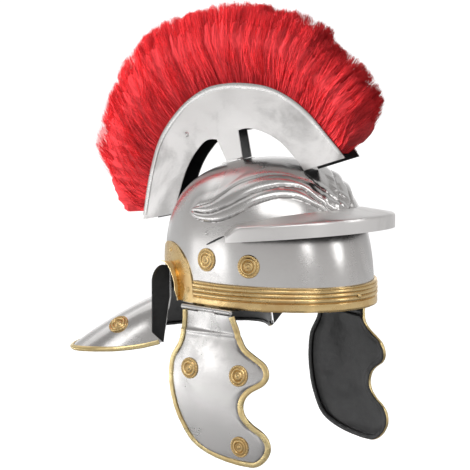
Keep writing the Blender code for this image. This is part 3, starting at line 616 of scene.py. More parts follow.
def make_groups():
    """Shared surface effects: hammer marks, fine scratches, stains and pits."""
    g, gin, gout = new_group("hammer_marks", [("Scale", "NodeSocketFloat", 22.0)], [("Height", "NodeSocketFloat")])
    pos = group_object_coords(g)
    big = noise(g, pos, gin.outputs["Scale"], 1.5, 0.45)
    small = times(g, gin.outputs["Scale"], 3.1)
    fine = noise(g, pos, small, 2.0, 0.5)
    total = plus(g, big, times(g, fine, 0.22))
    g.links.new(total, gout.inputs["Height"])

    g, gin, gout = new_group("fine_scratches", [("Scale", "NodeSocketFloat", 60.0),
                                                ("Stretch", "NodeSocketFloat", 9.0)],
                             [("Mask", "NodeSocketFloat")])
    pos = group_object_coords(g)
    combine = add_node(g, "ShaderNodeCombineXYZ", [(0, 1.0), (1, 1.0), (2, gin.outputs["Stretch"])])
    spread = add_node(g, "ShaderNodeVectorMath", [(0, pos), (1, combine.outputs[0])], operation="MULTIPLY")
    first = noise(g, spread.outputs[0], gin.outputs["Scale"], 5.0, 0.65)
    turned = add_node(g, "ShaderNodeVectorRotate", [("Vector", spread.outputs[0]), ("Axis", (0.6, 0.5, 0.2)),
                                                    ("Angle", 1.1)])
    second = noise(g, turned.outputs[0], gin.outputs["Scale"], 4.0, 0.7)
    total = times(g, plus(g, first, second), 0.5)
    g.links.new(ramp(g, total, 0.38, 0.62), gout.inputs["Mask"])

    g, gin, gout = new_group("stains", [("Scale", "NodeSocketFloat", 14.0), ("Cover", "NodeSocketFloat", 0.5)],
                             [("Mask", "NodeSocketFloat")])
    pos = group_object_coords(g)
    cloud = add_node(g, "ShaderNodeTexNoise", [("Vector", pos), ("Scale", gin.outputs["Scale"]), ("Detail", 6.0),
                                               ("Roughness", 0.62), ("Distortion", 0.6)])
    low = minus(g, 1.0, gin.outputs["Cover"])
    shifted = minus(g, cloud.outputs["Fac"], low)
    g.links.new(ramp(g, shifted, -0.06, 0.14), gout.inputs["Mask"])

    g, gin, gout = new_group("pits", [("Scale", "NodeSocketFloat", 420.0), ("Cover", "NodeSocketFloat", 0.5)],
                             [("Mask", "NodeSocketFloat")])
    pos = group_object_coords(g)
    cells = add_node(g, "ShaderNodeTexVoronoi", [("Vector", pos), ("Scale", gin.outputs["Scale"]), ("Randomness", 1.0)])
    spot = ramp(g, cells.outputs["Distance"], 0.22, 0.10)
    where = noise(g, pos, 26.0, 3.0, 0.6)
    region = ramp(g, plus(g, where, gin.outputs["Cover"]), 1.10, 1.22)
    g.links.new(math_node(g, "MULTIPLY", spot, region, clamp=True), gout.inputs["Mask"])


def use_group(tree, name, **values):
    node = tree.nodes.new("ShaderNodeGroup")
    node.node_tree = bpy.data.node_groups[name]
    for key, value in values.items():
        node.inputs[key].default_value = value
    return node.outputs[0]


def start_material(name):
    mat = bpy.data.materials.new(name)
    mat.use_nodes = True
    tree = mat.node_tree
    return mat, tree, tree.nodes["Principled BSDF"]


def rgba(colour, factor=1.0):
    return (colour[0] * factor, colour[1] * factor, colour[2] * factor, 1.0)


def link_surface(tree, bsdf, base, rough, height, strength, distance):
    """Colour, roughness and a bump of the given height into the surface."""
    bump = add_node(tree, "ShaderNodeBump", [("Height", height), ("Strength", strength), ("Distance", distance)])
    tree.links.new(base, bsdf.inputs["Base Color"])
    tree.links.new(rough, bsdf.inputs["Roughness"])
    tree.links.new(bump.outputs["Normal"], bsdf.inputs["Normal"])


def make_steel(name, colour, dull=0.0, pit_cover=0.42, cloud=0.30, wave=0.26, crease_shaded=False):
    """Polished sheet steel: soft hammer marks, cloudy polish, fine scratches, a few rusty pits and, where asked,
    painted shade in creases.
    """
    mat, tree, bsdf = start_material(name)
    stain = use_group(tree, "stains", Scale=11.0, Cover=0.47)
    scratch = use_group(tree, "fine_scratches", Scale=95.0, Stretch=7.0)
    pit = use_group(tree, "pits", Scale=430.0, Cover=pit_cover)
    marks = use_group(tree, "hammer_marks", Scale=17.0)
    base = mix_colour(tree, times(tree, stain, cloud), rgba(colour), rgba(colour, 0.60))
    base = mix_colour(tree, times(tree, scratch, 0.06), base, rgba((0.90, 0.89, 0.88)))
    base = mix_colour(tree, times(tree, pit, 0.75), base, (0.19, 0.12, 0.085, 1.0))
    # painted shade: darkens the steel in the creases and beside the edges by the share kept at each vertex
    if crease_shaded:
        crease_shade = add_node(tree, "ShaderNodeAttribute", attribute_name="crease_shade").outputs["Fac"]
        base = mix_colour(tree, times(tree, crease_shade, 0.85), base, (0.10, 0.085, 0.08, 1.0))
    rough = plus(tree, times(tree, stain, 0.10), 0.19 + dull)
    rough = plus(tree, rough, times(tree, scratch, 0.03))
    rough = plus(tree, rough, times(tree, pit, 0.35))
    metal = minus(tree, 1.0, times(tree, pit, 0.6))
    height = plus(tree, marks, times(tree, scratch, 0.004))
    height = minus(tree, height, times(tree, pit, 0.05))
    tree.links.new(metal, bsdf.inputs["Metallic"])
    link_surface(tree, bsdf, base, rough, height, wave, 0.0022)
    return mat


def make_brass(name, colour, dull=0.0, metallic=1.0):
    """Polished brass with brown tarnish in patches and fine scratches."""
    mat, tree, bsdf = start_material(name)
    stain = use_group(tree, "stains", Scale=34.0, Cover=0.50)
    wide = use_group(tree, "stains", Scale=9.0, Cover=0.46)
    scratch = use_group(tree, "fine_scratches", Scale=120.0, Stretch=3.0)
    pit = use_group(tree, "pits", Scale=520.0, Cover=0.50)
    marks = use_group(tree, "hammer_marks", Scale=46.0)
    base = mix_colour(tree, times(tree, stain, 0.42), rgba(colour), rgba(scaled(colour, 0.76, 0.62, 0.48)))
    base = mix_colour(tree, times(tree, wide, 0.28), base, rgba(scaled(colour, 1.06, 1.18, 1.38)))
    base = mix_colour(tree, times(tree, scratch, 0.12), base, rgba(scaled(colour, 1.14, 1.34, 1.75)))
    base = mix_colour(tree, times(tree, pit, 0.7), base, (0.13, 0.065, 0.025, 1.0))
    rough = plus(tree, times(tree, stain, 0.14), 0.19 + dull)
    rough = plus(tree, rough, times(tree, scratch, 0.06))
    height = plus(tree, marks, times(tree, scratch, 0.02))
    bsdf.inputs["Metallic"].default_value = metallic
    link_surface(tree, bsdf, base, rough, height, 0.24, 0.0012)
    return mat


def make_paint(name, colour):
    """Brushed black paint on the inside faces, rubbed grey in places; the same black also makes painted shadow in gaps.
    """
    mat, tree, bsdf = start_material(name)
    stain = use_group(tree, "stains", Scale=30.0, Cover=0.45)
    scratch = use_group(tree, "fine_scratches", Scale=80.0, Stretch=2.0)
    marks = use_group(tree, "hammer_marks", Scale=60.0)
    base = mix_colour(tree, times(tree, stain, 0.5), rgba(colour), rgba(colour, 2.4))
    base = mix_colour(tree, times(tree, scratch, 0.08), base, (0.10, 0.10, 0.10, 1.0))
    rough = plus(tree, times(tree, stain, 0.16), 0.34)
    link_surface(tree, bsdf, base, rough, marks, 0.5, 0.0008)
    return mat


def make_hair(name, colour, shade):
    """Dyed horsehair: colour changes from strand to strand, with painted shade darkening it towards the roots; a shade
    below 1 gives a darker copy in painted shade.
    """
    mat, tree, bsdf = start_material(name)
    pos = group_object_coords(tree)
    split = add_node(tree, "ShaderNodeSeparateXYZ", [(0, pos)])
    dy = minus(tree, split.outputs[1], CREST_Y)
    dz = minus(tree, split.outputs[2], CREST_Z)
    angle = math_node(tree, "ARCTAN2", dz, dy)
    radius = math_node(tree, "SQRT", plus(tree, times(tree, dy, dy), times(tree, dz, dz)))
    polar = add_node(tree, "ShaderNodeCombineXYZ", [(0, times(tree, angle, 60.0)),
                                                    (1, times(tree, split.outputs[0], 140.0)),
                                                    (2, times(tree, radius, 7.0))])
    fine = noise(tree, polar.outputs[0], 3.2, 4.0, 0.7)
    broad = noise(tree, polar.outputs[0], 0.35, 2.0, 0.5)
    tone = ramp(tree, plus(tree, times(tree, fine, 0.7), times(tree, broad, 0.3)), 0.34, 0.68)
    base = mix_colour(tree, tone, rgba(colour, 0.50 * shade),
                      rgba((min(colour[0] * 1.12, 1), colour[1] * 1.5, colour[2] * 1.4), shade))
    # painted shade: darker towards the roots, close to the crest plates
    root = ramp(tree, radius, 0.130, 0.172)
    base = mix_colour(tree, root, rgba(colour, 0.42 * shade), base)
    tree.links.new(base, bsdf.inputs["Base Color"])
    bsdf.inputs["Roughness"].default_value = 0.6
    bsdf.inputs["Specular IOR Level"].default_value = 0.12
    return mat


MATS = {}


def materials():
    if MATS:
        return MATS
    make_groups()
    col = settings().finish
    MATS["steel"] = make_steel("polished_steel", tuple(col.steel))
    MATS["embossed"] = make_steel("embossed_steel", tuple(col.steel), 0.03, crease_shaded=True)
    MATS["worn"] = make_steel("worn_steel", tuple(c * 0.96 for c in col.steel), 0.06, 0.50, 0.42, 0.30)
    MATS["plate"] = make_steel("mottled_steel", tuple(c * 0.97 for c in col.steel), 0.10, 0.40, 0.85, 0.55)
    # the bar's steel is a lighter copy of the bowl's steel: painted light that brightens the guard's face
    MATS["bar"] = make_steel("brushed_steel_painted_light", tuple(min(c * 1.22, 0.95) for c in col.steel), 0.12, 0.34, 0.25, 0.20)
    MATS["brass"] = make_brass("brass_trim", tuple(col.brass))
    # the lip's brass is a paler copy of the trim brass: painted light that offsets the deeper colour of brass mirroring
    # brass
    MATS["lip"] = make_brass("satin_brass_painted_light", scaled(col.brass, 1.0, 1.10, 1.30), 0.12, 0.65)
    MATS["strip"] = make_brass("pale_brass", scaled(col.brass, 1.06, 1.17, 1.25), 0.05)
    MATS["cheek"] = make_steel("cheek_steel", tuple(col.steel), 0.01, 0.43, 0.55, 0.16, crease_shaded=True)
    # the band's grooves and the rosettes' low rings get a darker, duller brass
    MATS["groove"] = make_brass("darker_recess_brass", scaled(col.brass, 0.72, 0.64, 0.52), 0.16)
    MATS["black"] = make_paint("black_paint", tuple(col.paint))
    MATS["hair"] = make_hair("red_hair", tuple(col.hair), 1.0)
    # the plume's core: a darker copy of the hair in painted shade
    MATS["roots"] = make_hair("red_hair_core_shaded", tuple(col.hair), 0.62)
    return MATS


# operators, one for each piece or group of like pieces

class HELMET_OT_shell(bpy.types.Operator):
    """Make the steel shell: embossed bowl, nape and neck guard, painted black inside"""
    bl_idname = "helmet.shell"
    bl_label = "Steel Shell"

    def execute(self, context):
        size, mats = settings().shell, materials()
        cols = shell_columns(size.columns)
        start = math.acos((BROW_HIGH_Z / BOWL_H) ** 1.2)
        heights = [BOWL_H * math.cos(a) ** (2 / 2.4) for a in np.linspace(math.radians(4.0), start, 13)[:-1]]
        heights += list(np.linspace(BROW_HIGH_Z, BROW_LOW_Z, size.rows)) + list(np.linspace(BROW_LOW_Z, 0.0, 23)[1:])
        count = len(heights)
        rows = count + NECK_ROWS
        top = np.zeros((rows, len(cols), 3))
        low = np.zeros_like(top)
        mask = np.zeros((rows - 1, len(cols)), bool)
        mirror = {}
        for j, (t, kind) in enumerate(cols):
            sign, th = (1, t) if t <= 180 else (-1, round(360 - t, 4))
            if sign == -1 and th in mirror:
                k = mirror[th]
                top[:, j] = top[:, k] * (-1, 1, 1)
                low[:, j] = low[:, k] * (-1, 1, 1)
                continue
            mirror[th] = j
            arch = ear_arch(bowl_point(th, 0.02)[1]) if kind == "ear" else 0.0
            for i, z in enumerate(heights):
                if arch and z < EAR_CUT_TOP:
                    z = EAR_CUT_TOP - (EAR_CUT_TOP - z) / EAR_CUT_TOP * (EAR_CUT_TOP - arch)
                p, n = bowl_surface(th, z, size.relief)
                top[i, j], low[i, j] = p, p - n * SHELL_T
            for m in range(NECK_ROWS):
                v = (m + 1) / NECK_ROWS
                if kind != "back":
                    top[count + m, j], low[count + m, j] = top[count - 1, j], low[count - 1, j]
                    continue
                a, b = neck_curve(th, min(v + 0.01, 1.0)), neck_curve(th, v - 0.01)
                th_a, th_b = min(th + 0.5, 180.0), max(th - 0.5, 125.7)
                c, d = neck_curve(th_a, v), neck_curve(th_b, v)
                n = np.cross(a - b, c - d)
                n = unit(n)
                if n[2] < -0.2 or np.dot(n, (-1, 0.4, 0.3)) < 0 and n[2] < 0.2:
                    n = -n
                p = neck_curve(th, v)
                top[count + m, j], low[count + m, j] = p, p - n * SHELL_T
        for j in range(len(cols)):
            d = (j + 1) % len(cols)
            for i in range(rows - 1):
                mask[i, j] = i < count - 1 or (cols[j][1] == "back" and cols[d][1] == "back")
        crown = np.array([0.0, 0.003, BOWL_H])
        verts, faces, kind = shell_mesh(top, low, True, mask, (crown, crown - (0, 0, SHELL_T)))
        obj = add_mesh("helmet_shell", verts, faces, [mats["embossed"], mats["black"]],
                       inside_paint(kind), replaces=("shell",))
        add_painted_shade(obj, lambda place: brow_crease_shade(*place))
        return {"FINISHED"}


class HELMET_OT_band(bpy.types.Operator):
    """Make the ribbed brass band round the brow"""
    bl_idname = "helmet.band"
    bl_label = "Brow Band"

    def execute(self, context):
        size, mats = settings().trim, materials()
        # share of the band's height, share of its thickness
        ribs = [(0.02, 0.0), (0.0, 0.25), (0.0, 0.60), (0.03, 0.80), (0.10, 0.86), (0.20, 0.80), (0.28, 0.82),
                (0.33, 0.74), (0.355, 0.42), (0.375, 0.42), (0.40, 0.80), (0.44, 0.94), (0.49, 0.94), (0.53, 0.78),
                (0.555, 0.62), (0.58, 0.78), (0.62, 0.98), (0.67, 1.0), (0.71, 0.80), (0.735, 0.64), (0.76, 0.80),
                (0.80, 0.96), (0.85, 0.96), (0.885, 0.76), (0.91, 0.70), (0.94, 0.84), (0.975, 0.80), (1.0, 0.55),
                (1.0, 0.0)]
        lim, steps = 98.4, 180
        rings = []
        for k in range(steps + 1):
            t = -lim + 2 * lim * k / steps
            wave = 0.00010 * math.sin(t * 0.31) + 0.00007 * math.sin(t * 0.83 + 1)
            rings.append([bowl_point(t, h * BAND_H + wave * (1 - h), 0.0004 + o * size.band) for h, o in ribs])
        verts, faces = sweep_mesh(rings)
        grooves = {8, 13, 19, 23}
        fmats = [1 if k < steps * len(ribs) and k % len(ribs) in grooves else 0 for k in range(len(faces))]
        add_mesh("brow_band_brass", verts, faces, [mats["brass"], mats["groove"]], fmats,
                 replaces=("brow_band",))
        return {"FINISHED"}


def guard_z(y):
    return GUARD_Z - GUARD_TILT * (y + 0.028)


class HELMET_OT_guard(bpy.types.Operator):
    """Make the angled steel bar over the brow, with its shelf, face and riveted tabs"""
    bl_idname = "helmet.guard"
    bl_label = "Brow Guard"

    def execute(self, context):
        mats = materials()
        relief = settings().shell.relief
        lim, steps = 78.5, 150
        prof = []
        for k in range(steps + 1):
            t = math.radians(-lim + 2 * lim * k / steps)
            outer = np.array([-GUARD_HALF_W * math.sin(t), -GUARD_REACH * math.cos(t), 0.0])
            away = np.array([-math.sin(t) / GUARD_HALF_W, -math.cos(t) / GUARD_REACH, 0.0])
            away = unit(away)
            deg = math.degrees(t)
            drop = 0.0095 * smoothstep(69.5, 79, abs(deg)) ** 1.5
            z = guard_z(outer[1]) - drop
            rise = 0.0002 + 0.0045 * smoothstep(0.2, 0.9, math.cos(t))
            out = 0.0011 + 0.0008 * smoothstep(-72, -60, -abs(deg)) + brow_height(deg, z + rise, relief)
            inner = bowl_point(deg, z + rise, out)
            line = []
            for u in (0.0, 0.25, 0.5, 0.75, 0.93):
                p = inner * (1 - u) + np.array([outer[0], outer[1], z]) * u
                line.append((p, np.array([0.0, 0.0, 1.0]) + away * 0.1))
            corner = np.array([outer[0], outer[1], z])
            for a in (20, 45, 70):
                c, s = math.cos(math.radians(a)), math.sin(math.radians(a))
                line.append((corner - away * 0.0020 * (1 - s) - np.array([0, 0, 0.0020]) * (1 - c),
                             away * s + np.array([0, 0, c])))
            for h in (0.0022, 0.005, 0.0085, 0.012, GUARD_FACE - 0.0006, GUARD_FACE):
                line.append((corner - np.array([0, 0, h * (1 - drop / GUARD_FACE)]), away))
            prof.append(line)
        mid = np.array([[p for p, _ in line] for line in prof]).transpose(1, 0, 2)
        nrm = np.array([[unit(n) for _, n in line] for line in prof]).transpose(1, 0, 2)
        verts, faces, kind = sheet_mesh(mid, nrm, GUARD_T)
        add_mesh("brow_guard_bar", verts, faces, [mats["bar"], mats["black"]],
                 inside_paint(kind), replaces=("brow_guard",))
        for side, tag in SIDES:
            cols, rws = 30, 7
            tab = np.zeros((rws, cols, 3))
            nr = np.zeros_like(tab)
            for j in range(cols):
                u = j / (cols - 1)
                y = -0.034 + 0.058 * u
                zc = guard_z(1.27 * min(y, -0.008) - 0.016) + 0.0004 - 0.006 * u * u
                h = 0.0132 * (1 - 0.45 * u) * math.sqrt(max(1 - max((u - 0.86) / 0.14, 0) ** 2, 0.02))
                mid_z = zc - 0.0132 * (1 - 0.45 * u) / 2
                for i in range(rws):
                    z = mid_z + h * (0.5 - i / (rws - 1))
                    n = side_normal(y, z, side)
                    tab[i, j] = bowl_side(y, z, side) + n * (0.0003 + GUARD_T / 2)
                    nr[i, j] = n
            verts, faces, _ = sheet_mesh(tab, nr, GUARD_T * 0.9)
            add_mesh("brow_guard_tab_" + tag, verts, faces, [mats["worn"]])
            # black sliver under each tab's lower edge: painted shadow of the gap where the tab stands off the bowl
            rings = []
            for u in np.linspace(0.0, 1.0, 13):
                y = 0.0140 - 0.0225 * u
                z = 0.0666 + 0.0106 * u
                h = 0.0009 * math.sin(math.pi * (0.12 + 0.76 * u)) + 0.0002
                rings.append([(side * (bowl_x(y, z + dz) + dx), y, z + dz) for dx,
                              dz in ((0.0002, -h), (0.0009, -h), (0.0009, h), (0.0002, h))])
            verts, faces = sweep_mesh(rings)
            add_mesh("brow_guard_shadow_sliver_" + tag, verts, faces, [mats["black"]])
        return {"FINISHED"}


class HELMET_OT_ears(bpy.types.Operator):
    """Make the brass ear guards with their lips, and the upright fins behind the ears"""
    bl_idname = "helmet.ears"
    bl_label = "Ear Guards and Fins"

    def execute(self, context):
        mats = materials()
        for side, tag in SIDES:
            angles = list(np.linspace(-14, 0, 6)) + list(np.linspace(3, 137, 62))
            shares = (1.0, 0.85, 0.7, 0.55, 0.4, 0.25, 0.12, 0.04, 0.0)
            lips = (0.10, 0.3, 0.5, 0.7, 0.88, 1.0)
            rows = len(shares) + len(lips)
            mid = np.zeros((rows, len(angles), 3))
            nrm = np.zeros_like(mid)
            mask = np.ones((rows - 1, len(angles) - 1), bool)
            for j, a in enumerate(angles):
                c, s = math.cos(math.radians(a)), math.sin(math.radians(a))
                hole = np.array([0.0, -c if a >= 0 else -1.0, s if a >= 0 else 0.0])
                for i, share in enumerate(shares):
                    w = EAR_HALF_W + 0.0012 + (EAR_PLATE_W - EAR_HALF_W) * share
                    h = EAR_HALF_H + 0.0012 + (EAR_PLATE_H - EAR_HALF_H) * share
                    y, z = EAR_Y - w * c, EAR_Z + h * s
                    if a < 0:
                        y, z = EAR_Y - w * (1 + 0.02 * share), EAR_Z - 0.0112 * (-a / 14)
                    n = side_normal(y, z, side)
                    mid[i, j] = bowl_side(y, z, side) + n * (0.0004 + EAR_T / 2)
                    nrm[i, j] = n
                k = len(shares) - 1
                nrm[k, j] = unit(nrm[k, j] + hole) * 1.3
                y, z = mid[k, j][1], mid[k, j][2]
                lip = VISOR_X - 0.004 * smoothstep(30, 96, a) - 0.004 * smoothstep(2, -14, a)
                base = bowl_x(y, z) + 0.001
                for i, u in enumerate(lips):
                    flare = 0.0022 * u * u
                    mid[k + 1 + i, j] = np.array([side * (base + (lip - base) * u), y, z]) + hole * flare
                    nrm[k + 1 + i, j] = hole
                if a > 92:
                    mask[k:, max(j - 1, 0)] = False
            mask[len(shares) - 1:, -1] = False
            verts, faces, _ = sheet_mesh(mid, nrm, EAR_T, mask)
            centres = [np.mean([verts[i] for i in f], axis=0) for f in faces]
            fmats = [1 if abs(c[0]) > bowl_x(c[1], c[2]) + 0.0030 else 0 for c in centres]
            add_mesh("ear_guard_brass_" + tag, verts, faces, [mats["brass"], mats["lip"]], fmats,
                     replaces=("ear_guard_" + tag,))
            line = []
            low_z, foot_x = 0.82 * NECK_DROP, 0.625 * NECK_HALF_W
            base_x = bowl_x(FIN_Y, 0.0)
            for k in range(24):
                z = FIN_TOP - 0.0015 - (FIN_TOP - 0.0015) * k / 23
                line.append((bowl_x(FIN_Y - 0.0014, z, 0.0005), z))
            for k in range(1, 12):
                v = k / 11
                line.append((base_x + (foot_x - base_x) * v + 0.0016, -low_z * v))
            line.append((FIN_X - 0.0012, -0.61 * NECK_DROP - 0.0006))
            line.append((FIN_X, -0.61 * NECK_DROP + 0.0010))
            for k in range(20):
                a = math.radians(90 * k / 19)
                line.append((FIN_X - 0.016 * (1 - math.cos(a)), 0.019 + (FIN_TOP - 0.019) * math.sin(a)))
            rings = [[(side * x, y, z) for x, z in line] for y in (FIN_Y - 0.0014, FIN_Y - 0.0011, FIN_Y)]
            inset = 0.0003
            cx = sum(x for x, _ in line) / len(line)
            cz = sum(z for _, z in line) / len(line)
            rings[0] = [(x - math.copysign(inset, x - side * cx), y, z - math.copysign(inset, z - cz)) for x, y,
                        z in rings[0]]
            verts, faces = sweep_mesh(rings)
            add_mesh("ear_fin_steel_" + tag, verts, faces, [mats["steel"], mats["black"]],
                     [1] * (len(faces) - 1) + [0], replaces=("ear_fin_" + tag,))
        return {"FINISHED"}


def folded_strip(edge, inward, normal, half_slot, width, back=STRIP_BACK, sheet=STRIP_T):
    """Rings of a strip folded over a plate's edge, with a rounded back."""
    shape = [(width, half_slot), (width, half_slot + sheet * 0.75), (width - 0.0004, half_slot + sheet)]
    r = half_slot + sheet
    for k in range(9):
        a = math.radians(90 - 180 * k / 8)
        shape.append((-back * 0.35 - math.cos(a) * back * 0.65, r * math.sin(a)))
    shape += [(width - 0.0004, -half_slot - sheet), (width, -half_slot - sheet * 0.75), (width, -half_slot),
              (-0.0007, -half_slot), (-0.0007, half_slot)]
    rings = []
    for k, (e, i, n) in enumerate(zip(edge, inward, normal)):
        wob = 1 + 0.05 * math.sin(k * 0.9) + 0.04 * math.sin(k * 2.3 + 1)
        rings.append([np.array(e) + np.array(i) * a
                      + np.array(n) * b * (wob if abs(b) > half_slot * 1.01 else 1) for a, b in shape])
    return rings


def strip_paint(count, inner):
    """Material numbers of a folded strip: black on the segments that face inwards."""
    return [1 if k % STRIP_POINTS in inner else 0 for k in range(count)]


class HELMET_OT_neck_trim(bpy.types.Operator):
    """Make the brass strip folded over the neck guard's edge"""
    bl_idname = "helmet.neck_trim"
    bl_label = "Neck Guard Strip"

    def execute(self, context):
        mats = materials()
        angles = np.linspace(126.6, 180, 80)
        full = [(t, 1) for t in angles] + [(t, -1) for t in reversed(angles[:-1])]
        edge, back = [], []
        for t, sign in full:
            p, q = neck_curve(t, 1.0), neck_curve(t, 0.93)
            edge.append(p * (sign, 1, 1))
            back.append(q * (sign, 1, 1))
        inward, normal = [], []
        for k, p in enumerate(edge):
            a, b = edge[max(k - 1, 0)], edge[min(k + 1, len(edge) - 1)]
            tangent = (b - a) / np.linalg.norm(b - a)
            i = back[k] - p
            i -= tangent * np.dot(i, tangent)
            i = unit(i)
            n = np.cross(tangent, i)
            inward.append(i)
            normal.append(unit(n))
        side = 1 if normal[len(normal) // 2][2] > 0 else -1
        edge = [p - n * side * SHELL_T / 2 for p, n in zip(edge, normal)]
        verts, faces = sweep_mesh(folded_strip(edge, inward, normal, SHELL_T / 2 + STRIP_SLOT, 0.0034))
        # the strip's underside is black: inside paint, and partly painted shade under the rolled edge
        add_mesh("neck_trim_brass", verts, faces, [mats["strip"], mats["black"]],
                 strip_paint(len(faces), (0, 1, 2, 3) if side < 0 else STRIP_INNER),
                 replaces=("neck_trim",))
        return {"FINISHED"}


# share of CHEEK_H below the hinge, front and rear edge as shares of CHEEK_D
CHEEK_OUTLINE = [(0.020, -0.400, 0.444), (0.080, -0.432, 0.428), (0.140, -0.446, 0.420), (0.190, -0.477, 0.428),
                 (0.235, -0.540, 0.459), (0.275, -0.664, 0.507), (0.315, -0.800, 0.561), (0.350, -0.857, 0.592),
                 (0.385, -0.875, 0.607), (0.420, -0.862, 0.615), (0.455, -0.804, 0.619), (0.500, -0.656, 0.620),
                 (0.550, -0.562, 0.611), (0.600, -0.531, 0.593), (0.640, -0.535, 0.574), (0.680, -0.576, 0.553),
                 (0.725, -0.675, 0.518), (0.770, -0.828, 0.473), (0.820, -0.905, 0.415), (0.870, -0.918, 0.343),
                 (0.915, -0.885, 0.232), (0.955, -0.820, 0.046), (0.985, -0.740, -0.206), (1.000, -0.660, -0.470)]


def cheek_x(y, depth):
    below = max(depth - CHEEK_FOLD, 0.0)
    turn = (CHEEK_TOE * y - CHEEK_BEND * y * y) * smoothstep(0.0, 1.4 * CHEEK_FOLD, depth)
    return HINGE_X + turn + below * (CHEEK_FLARE - CHEEK_CURL * below - CHEEK_TWIST * y)


def cheek_place(y, d):
    """Distance of the plate from the middle plane: the edges bend a little inwards."""
    f, r = smooth_table(CHEEK_OUTLINE, min(max(d / CHEEK_H, 0.02), 1.0))
    edge = min(y - f * CHEEK_D, r * CHEEK_D - y, CHEEK_H - d)
    bend = 0.0016 * (1 - smoothstep(0.0, 0.013, edge)) * smoothstep(0.020, 0.045, d)
    crease = 0.0010 * math.exp(-((d - CHEEK_FOLD - 0.001) / 0.0016) ** 2)
    return cheek_x(y, d) - bend + crease


def cheek_normal(y, d, side, place=cheek_x):
    e = 0.001
    n = np.cross([side * (place(y + e, d) - place(y - e, d)), 2 * e, 0],
                 [side * (place(y, d + e) - place(y, d - e)), 0, -2 * e])
    n = unit(n)
    return n if n[0] * side > 0 else -n


def cheek_crease_shade(y, d):
    """Share of painted shade beside the folded strip and in the crease under the hinge."""
    f, r = smooth_table(CHEEK_OUTLINE, min(max(d / CHEEK_H, 0.02), 1.0))
    slope = [smooth_table(CHEEK_OUTLINE, min(max(d / CHEEK_H + e, 0.02), 1.0)) for e in (-0.012, 0.012)]
    run = 0.024 * CHEEK_H
    lean = [math.hypot(1, (slope[1][k] - slope[0][k]) * CHEEK_D / run) for k in (0, 1)]
    edge = min((y - f * CHEEK_D) / lean[0], (r * CHEEK_D - y) / lean[1], (CHEEK_H - d) * 1.3)
    return max(0.95 * math.exp(-((edge - 0.0047) / 0.0011) ** 2), 0.35 * math.exp(-((d - CHEEK_FOLD) / 0.0012) ** 2))


class HELMET_OT_cheeks(bpy.types.Operator):
    """Make the two cheek guards with their folded brass edges"""
    bl_idname = "helmet.cheeks"
    bl_label = "Cheek Guards"

    def execute(self, context):
        mats, size = materials(), settings().trim
        for side, tag in SIDES:
            body = "cheek_" + tag
            s_values = list(np.linspace(0.022, 0.90, 96)) + [0.90 + 0.1 * math.sin(a) for a in np.linspace(0.08,
                    math.pi / 2, 22)]
            cols = 38
            mid = np.zeros((len(s_values), cols, 3))
            nrm = np.zeros_like(mid)
            edges = []
            for i, s in enumerate(s_values):
                f, r = smooth_table(CHEEK_OUTLINE, s)
                edges.append((s * CHEEK_H, f * CHEEK_D, r * CHEEK_D))
                for j in range(cols):
                    y = (f + (r - f) * j / (cols - 1)) * CHEEK_D
                    d = s * CHEEK_H
                    mid[i, j] = (side * cheek_place(y, d), y, HINGE_Z - d)
                    nrm[i, j] = cheek_normal(y, d, side, cheek_place)
            verts, faces, kind = sheet_mesh(mid, nrm, CHEEK_T)
            obj = add_mesh("cheek_plate_" + tag, verts, faces, [mats["cheek"], mats["black"]],
                           inside_paint(kind), body=body)
            add_painted_shade(obj, lambda place: cheek_crease_shade(place.y, HINGE_Z - place.z))
            path = [(r, d) for d, f, r in edges] + [(f, d) for d, f, r in reversed(edges)]
            path = self.even(path, 240)
            edge, inward, normal, flip = [], [], [], None
            for k, (y, d) in enumerate(path):
                ya, da = path[max(k - 2, 0)]
                yb, db = path[min(k + 2, len(path) - 1)]
                t = np.array([side * (cheek_place(yb, db) - cheek_place(ya, da)), yb - ya, -(db - da)])
                t = unit(t)
                n = cheek_normal(y, d, side)
                i = np.cross(n, t)
                i = unit(i)
                p = np.array([side * cheek_place(y, d), y, HINGE_Z - d])
                if flip is None:
                    flip = 1 if np.dot(i, np.array([p[0], -0.01, p[2]]) - p) > 0 else -1
                edge.append(p)
                inward.append(i * flip)
                normal.append(n)
            rings = folded_strip(edge, inward, normal, CHEEK_T / 2 + STRIP_SLOT, size.edge)
            verts, faces = sweep_mesh(rings)
            add_mesh("cheek_edge_brass_" + tag, verts, faces, [mats["strip"], mats["black"]],
                     strip_paint(len(faces), STRIP_INNER), body=body,
                     replaces=("cheek_trim_" + tag,))
        return {"FINISHED"}

    @staticmethod
    def even(path, count):
        pts = np.array(path)
        seg = np.linalg.norm(np.diff(pts, axis=0), axis=1)
        dist = np.concatenate([[0], np.cumsum(seg)])
        at = np.linspace(0, dist[-1], count)
        out = np.stack([np.interp(at, dist, pts[:, 0]), np.interp(at, dist, pts[:, 1])], 1)
        for _ in range(3):
            out[1:-1] = out[:-2] * 0.25 + out[1:-1] * 0.5 + out[2:] * 0.25
        return [tuple(p) for p in out]


def tube(cx, cz, y0, y1, r_out, r_in, steps=28):
    rings = []
    for y, r in ((y0, r_in), (y0, r_out - 0.0003), (y0 + 0.0003, r_out), (y1 - 0.0003, r_out), (y1, r_out - 0.0003),
                 (y1, r_in)):
        rings.append([(cx + r * math.cos(2 * math.pi * k / steps), y,
                       cz + r * math.sin(2 * math.pi * k / steps)) for k in range(steps)])
    return sweep_mesh(rings, closed=True)


